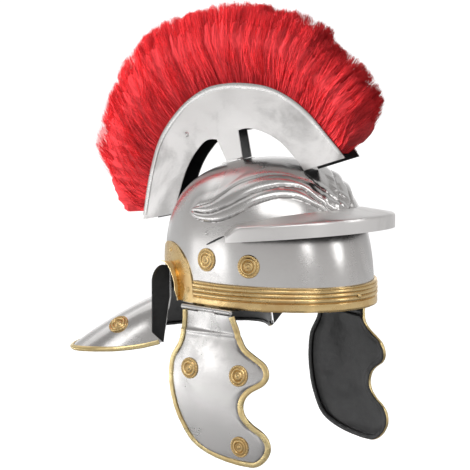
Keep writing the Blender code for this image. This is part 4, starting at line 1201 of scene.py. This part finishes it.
class HELMET_OT_hinges(bpy.types.Operator):
    """Make the hinge knuckles, leaves and pins of the cheek guards"""
    bl_idname = "helmet.hinges"
    bl_label = "Hinges"

    def execute(self, context):
        mats = materials()
        third = (HINGE_REAR - HINGE_FRONT) / 3
        for side, tag in SIDES:
            cx, cz = side * HINGE_X, HINGE_Z
            spans = [(HINGE_FRONT, HINGE_FRONT + third), (HINGE_REAR - third, HINGE_REAR)]
            for k, (y0, y1) in enumerate(spans, 1):
                parts = [tube(cx, cz, y0, y1, KNUCKLE_R, KNUCKLE_BORE)]
                wall = min(bowl_x(y0, 0.0), bowl_x(y1, 0.0)) - SHELL_T - 0.0003 - 0.0005
                pts = [(side * (HINGE_X - 0.0016), cz + 0.0012), (side * wall, cz + 0.0012), (side * wall, cz + 0.0135),
                       (side * (wall - 0.001), cz + 0.0135), (side * (wall - 0.001), cz + 0.0002),
                       (side * (HINGE_X - 0.0016), cz + 0.0002)]
                parts.append(sweep_mesh([[(x, y, z) for x, z in pts] for y in (y0, y1)]))
                verts, faces = join(parts)
                fmats = [0] * len(parts[0][1]) + [1] * len(parts[1][1])
                add_mesh("hinge_fixed_%s_%d" % (tag, k), verts, faces, [mats["worn"], mats["black"]], fmats,
                         replaces=("hinge_leaf_%s_%d" % (tag, k),))
            y0, y1 = HINGE_FRONT + third + 0.0003, HINGE_REAR - third - 0.0003
            parts = [tube(cx, cz, y0, y1, KNUCKLE_R, KNUCKLE_BORE)]
            pts = [(cx - 0.00055, cz - 0.0016), (cx + 0.00055, cz - 0.0016), (cx + 0.00055, cz - 0.0085),
                   (cx - 0.00055, cz - 0.0085)]
            parts.append(sweep_mesh([[(x, y, z) for x, z in pts] for y in (y0, y1)]))
            verts, faces = join(parts)
            add_mesh("hinge_moving_" + tag, verts, faces, [mats["worn"]], body="cheek_" + tag,
                     replaces=("cheek_guard_" + tag,))
            prof = [(0.0, -0.0006), (0.0009, -0.0006), (0.0013, -0.0002), (0.0012, 0.0),
                    (0.0012, HINGE_REAR - HINGE_FRONT),
                    (0.0013, HINGE_REAR - HINGE_FRONT + 0.0002), (0.0009, HINGE_REAR - HINGE_FRONT + 0.0006),
                    (0.0, HINGE_REAR - HINGE_FRONT + 0.0006)]
            verts, faces = lathe_mesh(prof, (cx, HINGE_FRONT, cz), (0, 1, 0), 20)
            add_mesh("hinge_pin_steel_" + tag, verts, faces, [mats["worn"]], replaces=("hinge_pin_" + tag,))
        return {"FINISHED"}


def rosette_mesh(p, n, radius):
    """Turned rosette: beaded rim, plain ring and a small boss in the middle."""
    prof = [(0.0, 0.0), (0.97, 0.0), (1.0, 0.08), (0.99, 0.22), (0.95, 0.36), (0.90, 0.42), (0.85, 0.36), (0.81, 0.22),
            (0.77, 0.20), (0.73, 0.30), (0.69, 0.50), (0.64, 0.62), (0.58, 0.60), (0.54, 0.44), (0.51, 0.26),
            (0.46, 0.24),
            (0.42, 0.34), (0.38, 0.56), (0.33, 0.66), (0.28, 0.62), (0.24, 0.50), (0.20, 0.52), (0.15, 0.78),
            (0.08, 0.94), (0.0, 1.0)]
    verts, faces = lathe_mesh([(r * radius, v * ROSETTE_H) for r, v in prof], p, n, 96, beads=((4, 5, 6), 24, 0.00042))
    return verts, faces, [1 if k // 96 in (7, 8, 13, 14, 15, 19) else 0 for k in range(len(faces))]


class HELMET_OT_rosettes(bpy.types.Operator):
    """Make the brass rosettes on the bowl, the neck guard and the cheek guards"""
    bl_idname = "helmet.rosettes"
    bl_label = "Rosettes"

    def execute(self, context):
        size = settings().trim
        for side, tag in SIDES:
            for k, (t, z) in enumerate(((90, 0.050), (65, 0.047)), 1):
                q = bowl_point(t, z)
                n = side_normal(q[1], z, side)
                p = np.array([side * abs(q[0]), q[1], z]) + n * 0.0002
                self.place("rosette_brass_bowl_%s_%d" % (tag, k), p, n, size.rosette_bowl,
                           "rosette_bowl_%s_%d" % (tag, k))
            for k, (y, z) in enumerate(((0.0228, -0.0664), (-0.0413, -0.0680), (-0.0421, -0.1448)), 1):
                d = HINGE_Z - z
                n = cheek_normal(y, d, side)
                p = np.array([side * cheek_x(y, d), y, z]) + n * 0.0009
                self.place("rosette_brass_cheek_%s_%d" % (tag, k), p, n, size.rosette_cheek,
                           "rosette_cheek_%s_%d" % (tag, k), "cheek_" + tag)
            lo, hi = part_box("rosette_neck_" + tag)
            pts = np.array([v.co for v in bpy.data.objects["rosette_neck_" + tag].data.vertices])
            n = np.linalg.eigh(np.cov(pts.T))[1][:, 0]
            n = n if n[2] > 0 else -n
            p = np.array([(lo[i] + hi[i]) / 2 for i in range(3)]) - n * 0.0012
            self.place("rosette_brass_neck_" + tag, p, n, size.rosette_cheek, "rosette_neck_" + tag)
        return {"FINISHED"}

    @staticmethod
    def place(name, p, n, radius, node, body="helmet"):
        """Adds one rosette where its solid is."""
        mats = materials()
        verts, faces, fmats = rosette_mesh(p, n, radius)
        add_mesh(name, verts, faces, [mats["brass"], mats["groove"]], fmats, body=body,
                 replaces=(node,))


class HELMET_OT_rivets(bpy.types.Operator):
    """Make the rivet heads of the band, ear guards, brow guard and crest plates"""
    bl_idname = "helmet.rivets"
    bl_label = "Rivets"

    def execute(self, context):
        mats = materials()
        self.head("band_rivet", (0.0, -(BOWL_FRONT + 0.0036), 0.56 * BAND_H), (0, -1, 0), mats["brass"], "rivet_band",
                  "brass_trim")
        for side, tag in SIDES:
            for k, (y, z) in enumerate(((0.083, 0.0535), (0.0425, 0.0150)), 1):
                n = side_normal(y, z, side)
                p = bowl_side(y, z, side) + n * 0.0012
                self.head("ear_rivet_%s_%d" % (tag, k), p, n, mats["brass"], "rivet_ear_%s_%d" % (tag, k), "brass_trim")
            y = 0.014
            z = guard_z(-0.026) - 0.0095
            n = side_normal(y, z, side)
            p = bowl_side(y, z, side) + n * 0.0017
            self.head("guard_rivet_" + tag, p, n, mats["worn"], "rivet_guard_" + tag, "polished_steel")
            p = (side * (CREST_HALF_GAP + settings().crest.plate), 0.128, 0.173)
            self.head("crest_rivet_" + tag, p, (side, 0, 0), mats["worn"], "rivet_crest_" + tag, "polished_steel", 1.15)
        return {"FINISHED"}

    @staticmethod
    def head(name, p, n, mat, node, slot, scale=1.0):
        r, h = RIVET_R * scale, RIVET_H * scale
        prof = [(0.0, 0.0), (1.0, 0.0), (0.98, 0.22), (0.90, 0.48), (0.75, 0.72), (0.52, 0.90), (0.27, 0.98),
                (0.0, 1.0)]
        verts, faces = lathe_mesh([(a * r, b * h) for a, b in prof], p, n, 28)
        add_mesh(name, verts, faces, [mat], replaces=(node,))


# degrees round the crest's centre from the rear, share of CREST_R
CREST_OUTER = [(-9, 0.935), (0, 0.898), (14, 0.871), (30, 0.866), (44, 0.852), (60, 0.845), (70, 0.842), (82, 0.832),
               (95, 0.835), (107, 0.855), (119, 0.875), (132, 0.900), (145, 0.934), (156.4, 1.0)]
CREST_FRONT_WINDOW = [(88, 0.521), (95.7, 0.541), (112.5, 0.564), (127.6, 0.589), (139.4, 0.607), (147.8, 0.630),
                      (152.5, 0.640)]
CREST_REAR_WINDOW = [(-7.5, 0.640), (2.9, 0.587), (14.2, 0.562), (29.4, 0.550), (42.3, 0.543), (54.5, 0.537),
                     (64.4, 0.498)]
LEG_FRONT_Y = 0.042
LEG_REAR_Y = 0.066


def crest_point(deg, share, size=CREST_R):
    a = math.radians(deg)
    return CREST_Y + math.cos(a) * share * size, CREST_Z + math.sin(a) * share * size


class HELMET_OT_crest(bpy.types.Operator):
    """Make the two crest plates with feet, their rolled rims and the channel between them"""
    bl_idname = "helmet.crest"
    bl_label = "Crest Holder"

    def execute(self, context):
        mats, thick = materials(), settings().crest.plate
        outer = [crest_point(a, smooth_table(CREST_OUTER, a)[0]) for a in np.linspace(-9, 156.4, 110)]
        front = [crest_point(a, smooth_table(CREST_FRONT_WINDOW, a)[0]) for a in np.linspace(152.5, 88, 44)]
        rear = [crest_point(a, smooth_table(CREST_REAR_WINDOW, a)[0]) for a in np.linspace(64.4, -7.5, 48)]
        x_in = CREST_HALF_GAP
        front[0] = (front[0][0], max(front[0][1], bowl_z(x_in, front[0][0]) + 0.0006))
        lift = 0.0024
        for side, tag in SIDES:
            leg_front = LEG_FRONT_Y if side < 0 else LEG_FRONT_Y + 0.008
            leg = [(leg_front, bowl_z(x_in, leg_front, lift)), (LEG_REAR_Y, bowl_z(x_in, LEG_REAR_Y, lift))]
            step = [] if side < 0 else [crest_point(a, 0.518) for a in (85.0, 82.0)]
            outline = outer + front + step + leg + rear
            rings = [[(side * x, y, z) for y, z in outline] for x in (x_in, x_in + thick)]
            verts, faces = sweep_mesh(rings)
            fmats = [0] * len(faces)
            fmats[-2] = 1
            add_mesh("crest_side_" + tag, verts, faces, [mats["plate"], mats["black"]], fmats,
                     replaces=("crest_plate_" + tag,), smooth=False)
            rings = []
            for a in np.linspace(-7, 154.5, 120):
                r = smooth_table(CREST_OUTER, a)[0]
                wide = 0.0052 + 0.0003 * math.sin(a * 0.21)
                ring = []
                for dr, x in ((0.0003, 0.0), (0.0004, 0.0009), (-0.0004, 0.0014), (-wide + 0.0008, 0.0014),
                              (-wide, 0.0010), (-wide, 0.0)):
                    y, z = crest_point(a, r + dr / CREST_R)
                    ring.append((side * (x_in + thick * 0.98 + x * 0.6), y, z))
                rings.append(ring)
            verts, faces = sweep_mesh(rings)
            add_mesh("crest_rim_" + tag, verts, faces, [mats["worn"]])
            rings = []
            for k in range(9):
                y = leg_front + (LEG_REAR_Y - leg_front) * k / 8
                xs = [x_in + thick * 1.2 + 0.0088 * u - 0.0012 for u in (0.0, 0.2, 0.4, 0.6, 0.8, 1.0)]
                low = [(side * x, y, bowl_z(x, y) + 0.0006) for x in xs]
                high = [(side * x, y, bowl_z(x, y) + 0.0020) for x in xs]
                rings.append(low + high[::-1])
            verts, faces = sweep_mesh(rings)
            add_mesh("crest_foot_steel_" + tag, verts, faces, [mats["worn"]], replaces=("crest_foot_" + tag,))
        half = CREST_HALF_GAP - 0.0003
        rings = []
        for a in np.linspace(-6, 153.5, 90):
            r = smooth_table(CREST_OUTER, a)[0]
            ring = []
            for x, dr in ((-half, -0.014), (half, -0.014), (half, -0.012), (-half, -0.012)):
                y, z = crest_point(a, r + dr / CREST_R)
                ring.append((x, y, z))
            rings.append(ring)
        verts, faces = sweep_mesh(rings)
        add_mesh("crest_floor", verts, faces, [mats["black"]], replaces=("crest_channel",))
        return {"FINISHED"}


# degrees round the crest's centre from the rear, share of PLUME_R
PLUME_EDGE = [(-7.0, 0.70), (-5.4, 0.775), (-1.4, 0.835), (4.7, 0.895), (10.3, 0.93), (14.3, 0.984), (20, 0.984),
              (28.3, 0.984), (35, 0.98), (39.2, 1.0), (45.7, 0.98), (50, 0.984), (56.4, 0.972), (61.5, 0.968),
              (64.7, 0.927), (70, 0.935), (78.6, 0.923), (86.2, 0.923), (93, 0.915), (101.5, 0.915), (109.5, 0.935),
              (115.9, 0.943), (119.6, 0.947), (121.2, 0.911), (125.7, 0.907), (132.4, 0.935), (138, 0.939),
              (142.3, 0.937), (145.2, 0.923), (148.9, 0.87), (151, 0.842), (152.4, 0.769), (153.6, 0.70)]


def plume_edge(a):
    return lerp_table(PLUME_EDGE, a)[0] * PLUME_R


def plume_width(a, half):
    reach = plume_edge(a) - smooth_table(CREST_OUTER, a)[0] * CREST_R
    return half * min(1.0, 0.42 + 0.58 * reach / (0.34 * PLUME_R))


class HELMET_OT_plume(bpy.types.Operator):
    """Make the horsehair plume: a core darkened with painted shade and thousands of strands that fan out from the
    plates
    """
    bl_idname = "helmet.plume"
    bl_label = "Plume"

    def execute(self, context):
        mats, size = materials(), settings().crest
        half_in = CREST_HALF_GAP - 0.0009
        count = 150
        rings = []
        for k in range(count + 1):
            a = -5.5 + 158.0 * k / count
            outer = smooth_table(CREST_OUTER, a)[0] * CREST_R
            tip = outer + (plume_edge(a) - outer) * (0.84 + 0.03 * math.sin(k * 2.1))
            reach = max(tip - outer, 0.008)
            wide = plume_width(a, size.half_width) * (0.80 + 0.05 * math.sin(k * 1.7))
            ring = []
            for x, r in ((half_in, outer - 0.011), (half_in, outer), (wide * 0.66, outer + 0.35 * reach),
                         (wide * 0.9, outer + 0.65 * reach), (wide * 0.75, outer + 0.88 * reach),
                         (wide * 0.35, tip - 0.002), (0.0, tip)):
                y, z = crest_point(a, r / CREST_R)
                ring.append((x, y, z))
            rings.append(ring + [(-x, y, z) for x, y, z in reversed(ring[:-1])])
        verts, faces = sweep_mesh(rings)
        add_mesh("plume_core", verts, faces, [mats["roots"]], replaces=("plume",))
        rng = np.random.default_rng(7)
        for name, side, lo, hi in (("plume_hair_right_back", -1, -6.5, PLUME_SPLIT),
                                   ("plume_hair_right_front", -1, PLUME_SPLIT, 153.4),
                                   ("plume_hair_left_back", 1, -6.5, PLUME_SPLIT),
                                   ("plume_hair_left_front", 1, PLUME_SPLIT, 153.4)):
            verts, faces = self.strands(rng, side, lo, hi, size)
            add_mesh(name, verts, faces, [mats["hair"]])
        return {"FINISHED"}

    @staticmethod
    def strands(rng, side, lo, hi, size):
        verts, faces = [], []
        half_in = CREST_HALF_GAP - 0.0012
        segs = 4
        for _ in range(size.strands):
            a0 = rng.uniform(lo, hi)
            depth = rng.uniform() ** 0.55
            lean = rng.normal(0, 1.3) + (2.0 * math.sin(a0 * 0.23) + 1.2 * math.sin(a0 * 0.61 + 1.3))
            lean += 20.0 * (1 - smoothstep(-7, 80, a0)) - 5.0 * smoothstep(130, 154, a0)
            a1 = min(max(a0 + lean, PLUME_FROM), PLUME_TO)
            tuft = math.floor(a1 / 3.1 + 0.8 * math.sin(a1 * 0.9) + 37 * side)
            heart = a1 + 1.5 * math.sin(tuft * 2.4)
            a1 = min(max(a1 + 0.28 * (heart - a1), PLUME_FROM), PLUME_TO)
            outer = smooth_table(CREST_OUTER, a0)[0] * CREST_R
            edge = plume_edge(a1)
            length = (0.90 + 0.10 * rng.uniform() ** 0.5) if rng.uniform() < 0.92 else rng.uniform(0.65, 1.0)
            tip = outer + (edge - outer) * min(length + 0.012 * rng.normal() + 0.028 * math.sin(tuft * 7.7) - 0.014,
                                               1.03)
            wide = plume_width(a1, size.half_width)
            x0 = side * half_in * (0.15 + 0.85 * depth)
            spread = math.sqrt(max(1 - max((tip - outer) / max(edge - outer, 1e-4) - 0.62, 0) ** 2 / 0.15, 0.05))
            x1 = side * wide * depth * spread + rng.normal(0, 0.0012)
            bow = rng.normal(0, 0.0022) + side * 0.004 * depth
            sway = rng.normal(0, 1.0)
            w0 = size.strand_width * rng.uniform(0.7, 1.25)
            pts = []
            for k in range(segs + 1):
                u = k / segs
                e = u * u * (3 - 2 * u)
                r = (outer - 0.009) + (tip - outer + 0.009) * u
                a = a0 + (a1 - a0) * e + sway * math.sin(math.pi * u) * 0.25
                free = max(r - outer - 0.002, 0.0) / max(tip - outer - 0.002, 0.001)
                x = x0 + (x1 - x0) * min(free, 1.0) ** 0.85 + bow * math.sin(math.pi * min(free, 1.0))
                if r < outer + 0.002:
                    x = side * min(abs(x), half_in)
                y, z = CREST_Y + math.cos(math.radians(a)) * r, CREST_Z + math.sin(math.radians(a)) * r
                pts.append(np.array((x, y, z)))
            base = len(verts)
            turn = rng.uniform(0, 2 * math.pi)
            am = math.radians(a0)
            across = np.array([0.0, -math.sin(am), math.cos(am)])
            out_x = np.array([1.0, 0.0, 0.0])
            for k, p in enumerate(pts):
                u = k / segs
                w = w0 * (1 - 0.72 * u ** 2.2) * 0.5
                for m in range(3):
                    b = turn + 2 * math.pi * m / 3
                    verts.append(p + (across * math.cos(b) + out_x * math.sin(b)) * w)
            for k in range(segs):
                for m in range(3):
                    n = (m + 1) % 3
                    faces.append((base + k * 3 + m, base + k * 3 + n, base + (k + 1) * 3 + n, base + (k + 1) * 3 + m))
            faces.append((base + 2, base + 1, base))
            e = base + segs * 3
            faces.append((e, e + 1, e + 2))
        return verts, faces


# name, power, width, height, azimuth, elevation, distance, whether the steel mirrors it
LIGHTS = [
    ("key_left", 0.72, 0.42, 0.36, -117, -3, 2.3, True),
    ("side_panel", 1.5, 1.2, 0.5, -134, -6, 2.3, True),
    ("front_strip", 3.0, 0.30, 1.3, -29, 25, 2.4, True),
    ("right_strip", 3.8, 0.46, 1.2, 16, 22, 2.4, True),
    ("high_front", 9.0, 1.9, 1.0, -54, 49, 2.3, True),
    ("high_right", 3.0, 0.7, 0.7, 30, 50, 2.3, True),
    ("rim_back", 4.2, 1.6, 1.5, 178, 50, 2.4, True),
    ("hair_left", 116.0, 1.0, 1.0, -150, 12, 1.8, False),
    ("hair_front", 6.0, 1.4, 1.4, -62, 40, 2.4, False),
]


class HELMET_OT_stage(bpy.types.Operator):
    """Make the pale floor, the soft studio lights and the camera"""
    bl_idname = "helmet.stage"
    bl_label = "Stage"

    def execute(self, context):
        size = settings().stage
        floor_z = CAD_BOX[0][2] - size.drop
        mat, tree, bsdf = start_material("studio_floor")
        ca, sa = math.cos(math.radians(size.azimuth)), math.sin(math.radians(size.azimuth))
        pos = group_object_coords(tree)
        depth = dot(tree, pos, (-sa, ca, 0.0))
        across = dot(tree, pos, (ca, sa, 0.0))
        height = add_node(tree, "ShaderNodeSeparateXYZ", [(0, pos)]).outputs[2]
        wide = math_node(tree, "ABSOLUTE", across)
        # besides the white it shows the camera, the floor glows in a far panel, a ring round the helmet and a stripe,
        # as soft lights for the steel to mirror
        panel = times(tree, ramp(tree, depth, 3.0, 6.5), ramp(tree, wide, 5.0, 2.5))
        panel = times(tree, panel, ramp(tree, height, 4.2, 2.2))
        reach = add_node(tree, "ShaderNodeVectorMath", [(0, pos)], operation="LENGTH").outputs["Value"]
        line = math.radians(CARD_AZIMUTH)
        along = dot(tree, pos, (math.cos(line), math.sin(line), 0.0))
        across = dot(tree, pos, (-math.sin(line), math.cos(line), 0.0))
        side = math_node(tree, "DIVIDE", math_node(tree, "ABSOLUTE", across), math_node(tree, "MAXIMUM", along, 0.05))
        card = times(tree, ramp(tree, side, 0.11, 0.03, 0.0, 0.72), ramp(tree, reach, 0.2, 0.45))
        panel = math_node(tree, "MAXIMUM", panel, ramp(tree, reach, 0.7, 1.7, 0.0, 0.47))
        panel = math_node(tree, "MAXIMUM", panel, card)
        seen = add_node(tree, "ShaderNodeLightPath").outputs["Is Camera Ray"]
        glow = times(tree, math_node(tree, "MAXIMUM", seen, panel), size.backdrop)
        bsdf.inputs["Base Color"].default_value = (0.17, 0.17, 0.17, 1)
        bsdf.inputs["Roughness"].default_value = 0.8
        bsdf.inputs["Emission Color"].default_value = (1, 1, 1, 1)
        tree.links.new(glow, bsdf.inputs["Emission Strength"])
        mesh = bpy.data.meshes.new("floor")
        pts, faces = [], []
        steps = 24
        line = [(-8.0, 0.0), (6.0, 0.0)] + [(6.0 + 4 * math.sin(a), 4 - 4 * math.cos(a)) for a in np.linspace(0.1,
                math.pi / 2, steps)] + [(10.0, 14.0)]
        for d, h in line:
            for w in (-12.0, 12.0):
                x = -sa * d + ca * w
                y = ca * d + sa * w
                pts.append((x, y, floor_z + h))
        for k in range(len(line) - 1):
            faces.append((2 * k, 2 * k + 1, 2 * k + 3, 2 * k + 2))
        mesh.from_pydata(pts, [], faces)
        mesh.materials.append(mat)
        mesh.polygons.foreach_set("use_smooth", [True] * len(faces))
        floor = bpy.data.objects.new("floor", mesh)
        context.scene.collection.objects.link(floor)

        def area(name, power, width, height, az, el, dist, mirrored):
            light = bpy.data.lights.new(name, "AREA")
            light.shape = "RECTANGLE"
            light.size, light.size_y = width, height
            light.energy = power
            obj = bpy.data.objects.new(name, light)
            a, e = math.radians(az), math.radians(el)
            back = Vector((math.sin(a) * math.cos(e), -math.cos(a) * math.cos(e), math.sin(e)))
            target = Vector((0, 0.05, 0.06))
            obj.location = target + back * dist
            obj.rotation_euler = back.to_track_quat("Z", "Y").to_euler()
            obj.visible_glossy = mirrored
            context.scene.collection.objects.link(obj)

        for row in LIGHTS:
            area(*row)

        world = bpy.data.worlds.new("studio")
        context.scene.world = world
        world.use_nodes = True
        tree = world.node_tree
        back = tree.nodes["Background"]
        coords = add_node(tree, "ShaderNodeTexCoord")
        split = add_node(tree, "ShaderNodeSeparateXYZ", [(0, coords.outputs["Generated"])])
        up = ramp(tree, split.outputs[2], -0.15, 0.75)
        back.inputs["Strength"].default_value = 1.0
        tree.links.new(mix_colour(tree, up, (0.56, 0.55, 0.545, 1), (0.33, 0.325, 0.32, 1)), back.inputs["Color"])

        cam = bpy.data.cameras.new("camera")
        cam.lens = size.focal
        cam.sensor_width = 36.0
        cam.clip_end = 100.0
        obj = bpy.data.objects.new("camera", cam)
        a, e = math.radians(size.azimuth), math.radians(size.elevation)
        back_dir = Vector((math.sin(a) * math.cos(e), -math.cos(a) * math.cos(e), math.sin(e)))
        obj.location = Vector(TARGET) + back_dir * size.distance
        obj.rotation_euler = back_dir.to_track_quat("Z", "Y").to_euler()
        context.scene.collection.objects.link(obj)
        context.scene.camera = obj
        context.scene.view_settings.view_transform = "Standard"
        return {"FINISHED"}


class HELMET_PT_panel(bpy.types.Panel):
    """Sidebar panel with the helmet's sizes and its making steps"""
    bl_idname = "HELMET_PT_panel"
    bl_label = "Roman Helmet"
    bl_space_type = "VIEW_3D"
    bl_region_type = "UI"
    bl_category = "Helmet"

    def draw(self, context):
        data = context.scene.roman_helmet
        for label, group, names, ops in (
            ("Shell", data.shell, ("relief", "columns", "rows"), ("helmet.shell", "helmet.guard", "helmet.ears")),
            ("Trim", data.trim, ("band", "edge", "rosette_bowl", "rosette_cheek"),
             ("helmet.band", "helmet.neck_trim", "helmet.rosettes", "helmet.rivets")),
            ("Cheek guards", None, (), ("helmet.cheeks", "helmet.hinges")),
            ("Crest", data.crest, ("strands", "strand_width", "half_width", "plate"), ("helmet.crest", "helmet.plume")),
            ("Finish", data.finish, ("steel", "brass", "hair", "paint"), ()),
            ("Stage", data.stage, ("drop", "azimuth", "elevation", "distance", "focal"), ("helmet.stage",)),
        ):
            box = self.layout.box()
            box.label(text=label)
            for name in names:
                box.prop(group, name)
            for op in ops:
                box.operator(op)


class HelmetSettings(bpy.types.PropertyGroup):
    shell: PointerProperty(type=ShellSizes)
    trim: PointerProperty(type=TrimSizes)
    crest: PointerProperty(type=CrestSizes)
    finish: PointerProperty(type=FinishColours)
    stage: PointerProperty(type=StageSizes)


CLASSES = (ShellSizes, TrimSizes, CrestSizes, FinishColours, StageSizes, HelmetSettings, HELMET_OT_shell,
           HELMET_OT_band,
           HELMET_OT_guard, HELMET_OT_ears, HELMET_OT_neck_trim, HELMET_OT_cheeks, HELMET_OT_hinges, HELMET_OT_rosettes,
           HELMET_OT_rivets, HELMET_OT_crest, HELMET_OT_plume, HELMET_OT_stage, HELMET_PT_panel)


def register():
    for cls in CLASSES:
        bpy.utils.register_class(cls)
    bpy.types.Scene.roman_helmet = PointerProperty(type=HelmetSettings)


def unregister():
    del bpy.types.Scene.roman_helmet
    for cls in reversed(CLASSES):
        bpy.utils.unregister_class(cls)


def main():
    register()
    ops = bpy.ops.helmet
    for step in (ops.stage, ops.shell, ops.band, ops.guard, ops.ears, ops.neck_trim, ops.cheeks, ops.hinges,
                 ops.rosettes, ops.rivets, ops.crest, ops.plume):
        step()


if __name__ == "__main__":
    main()
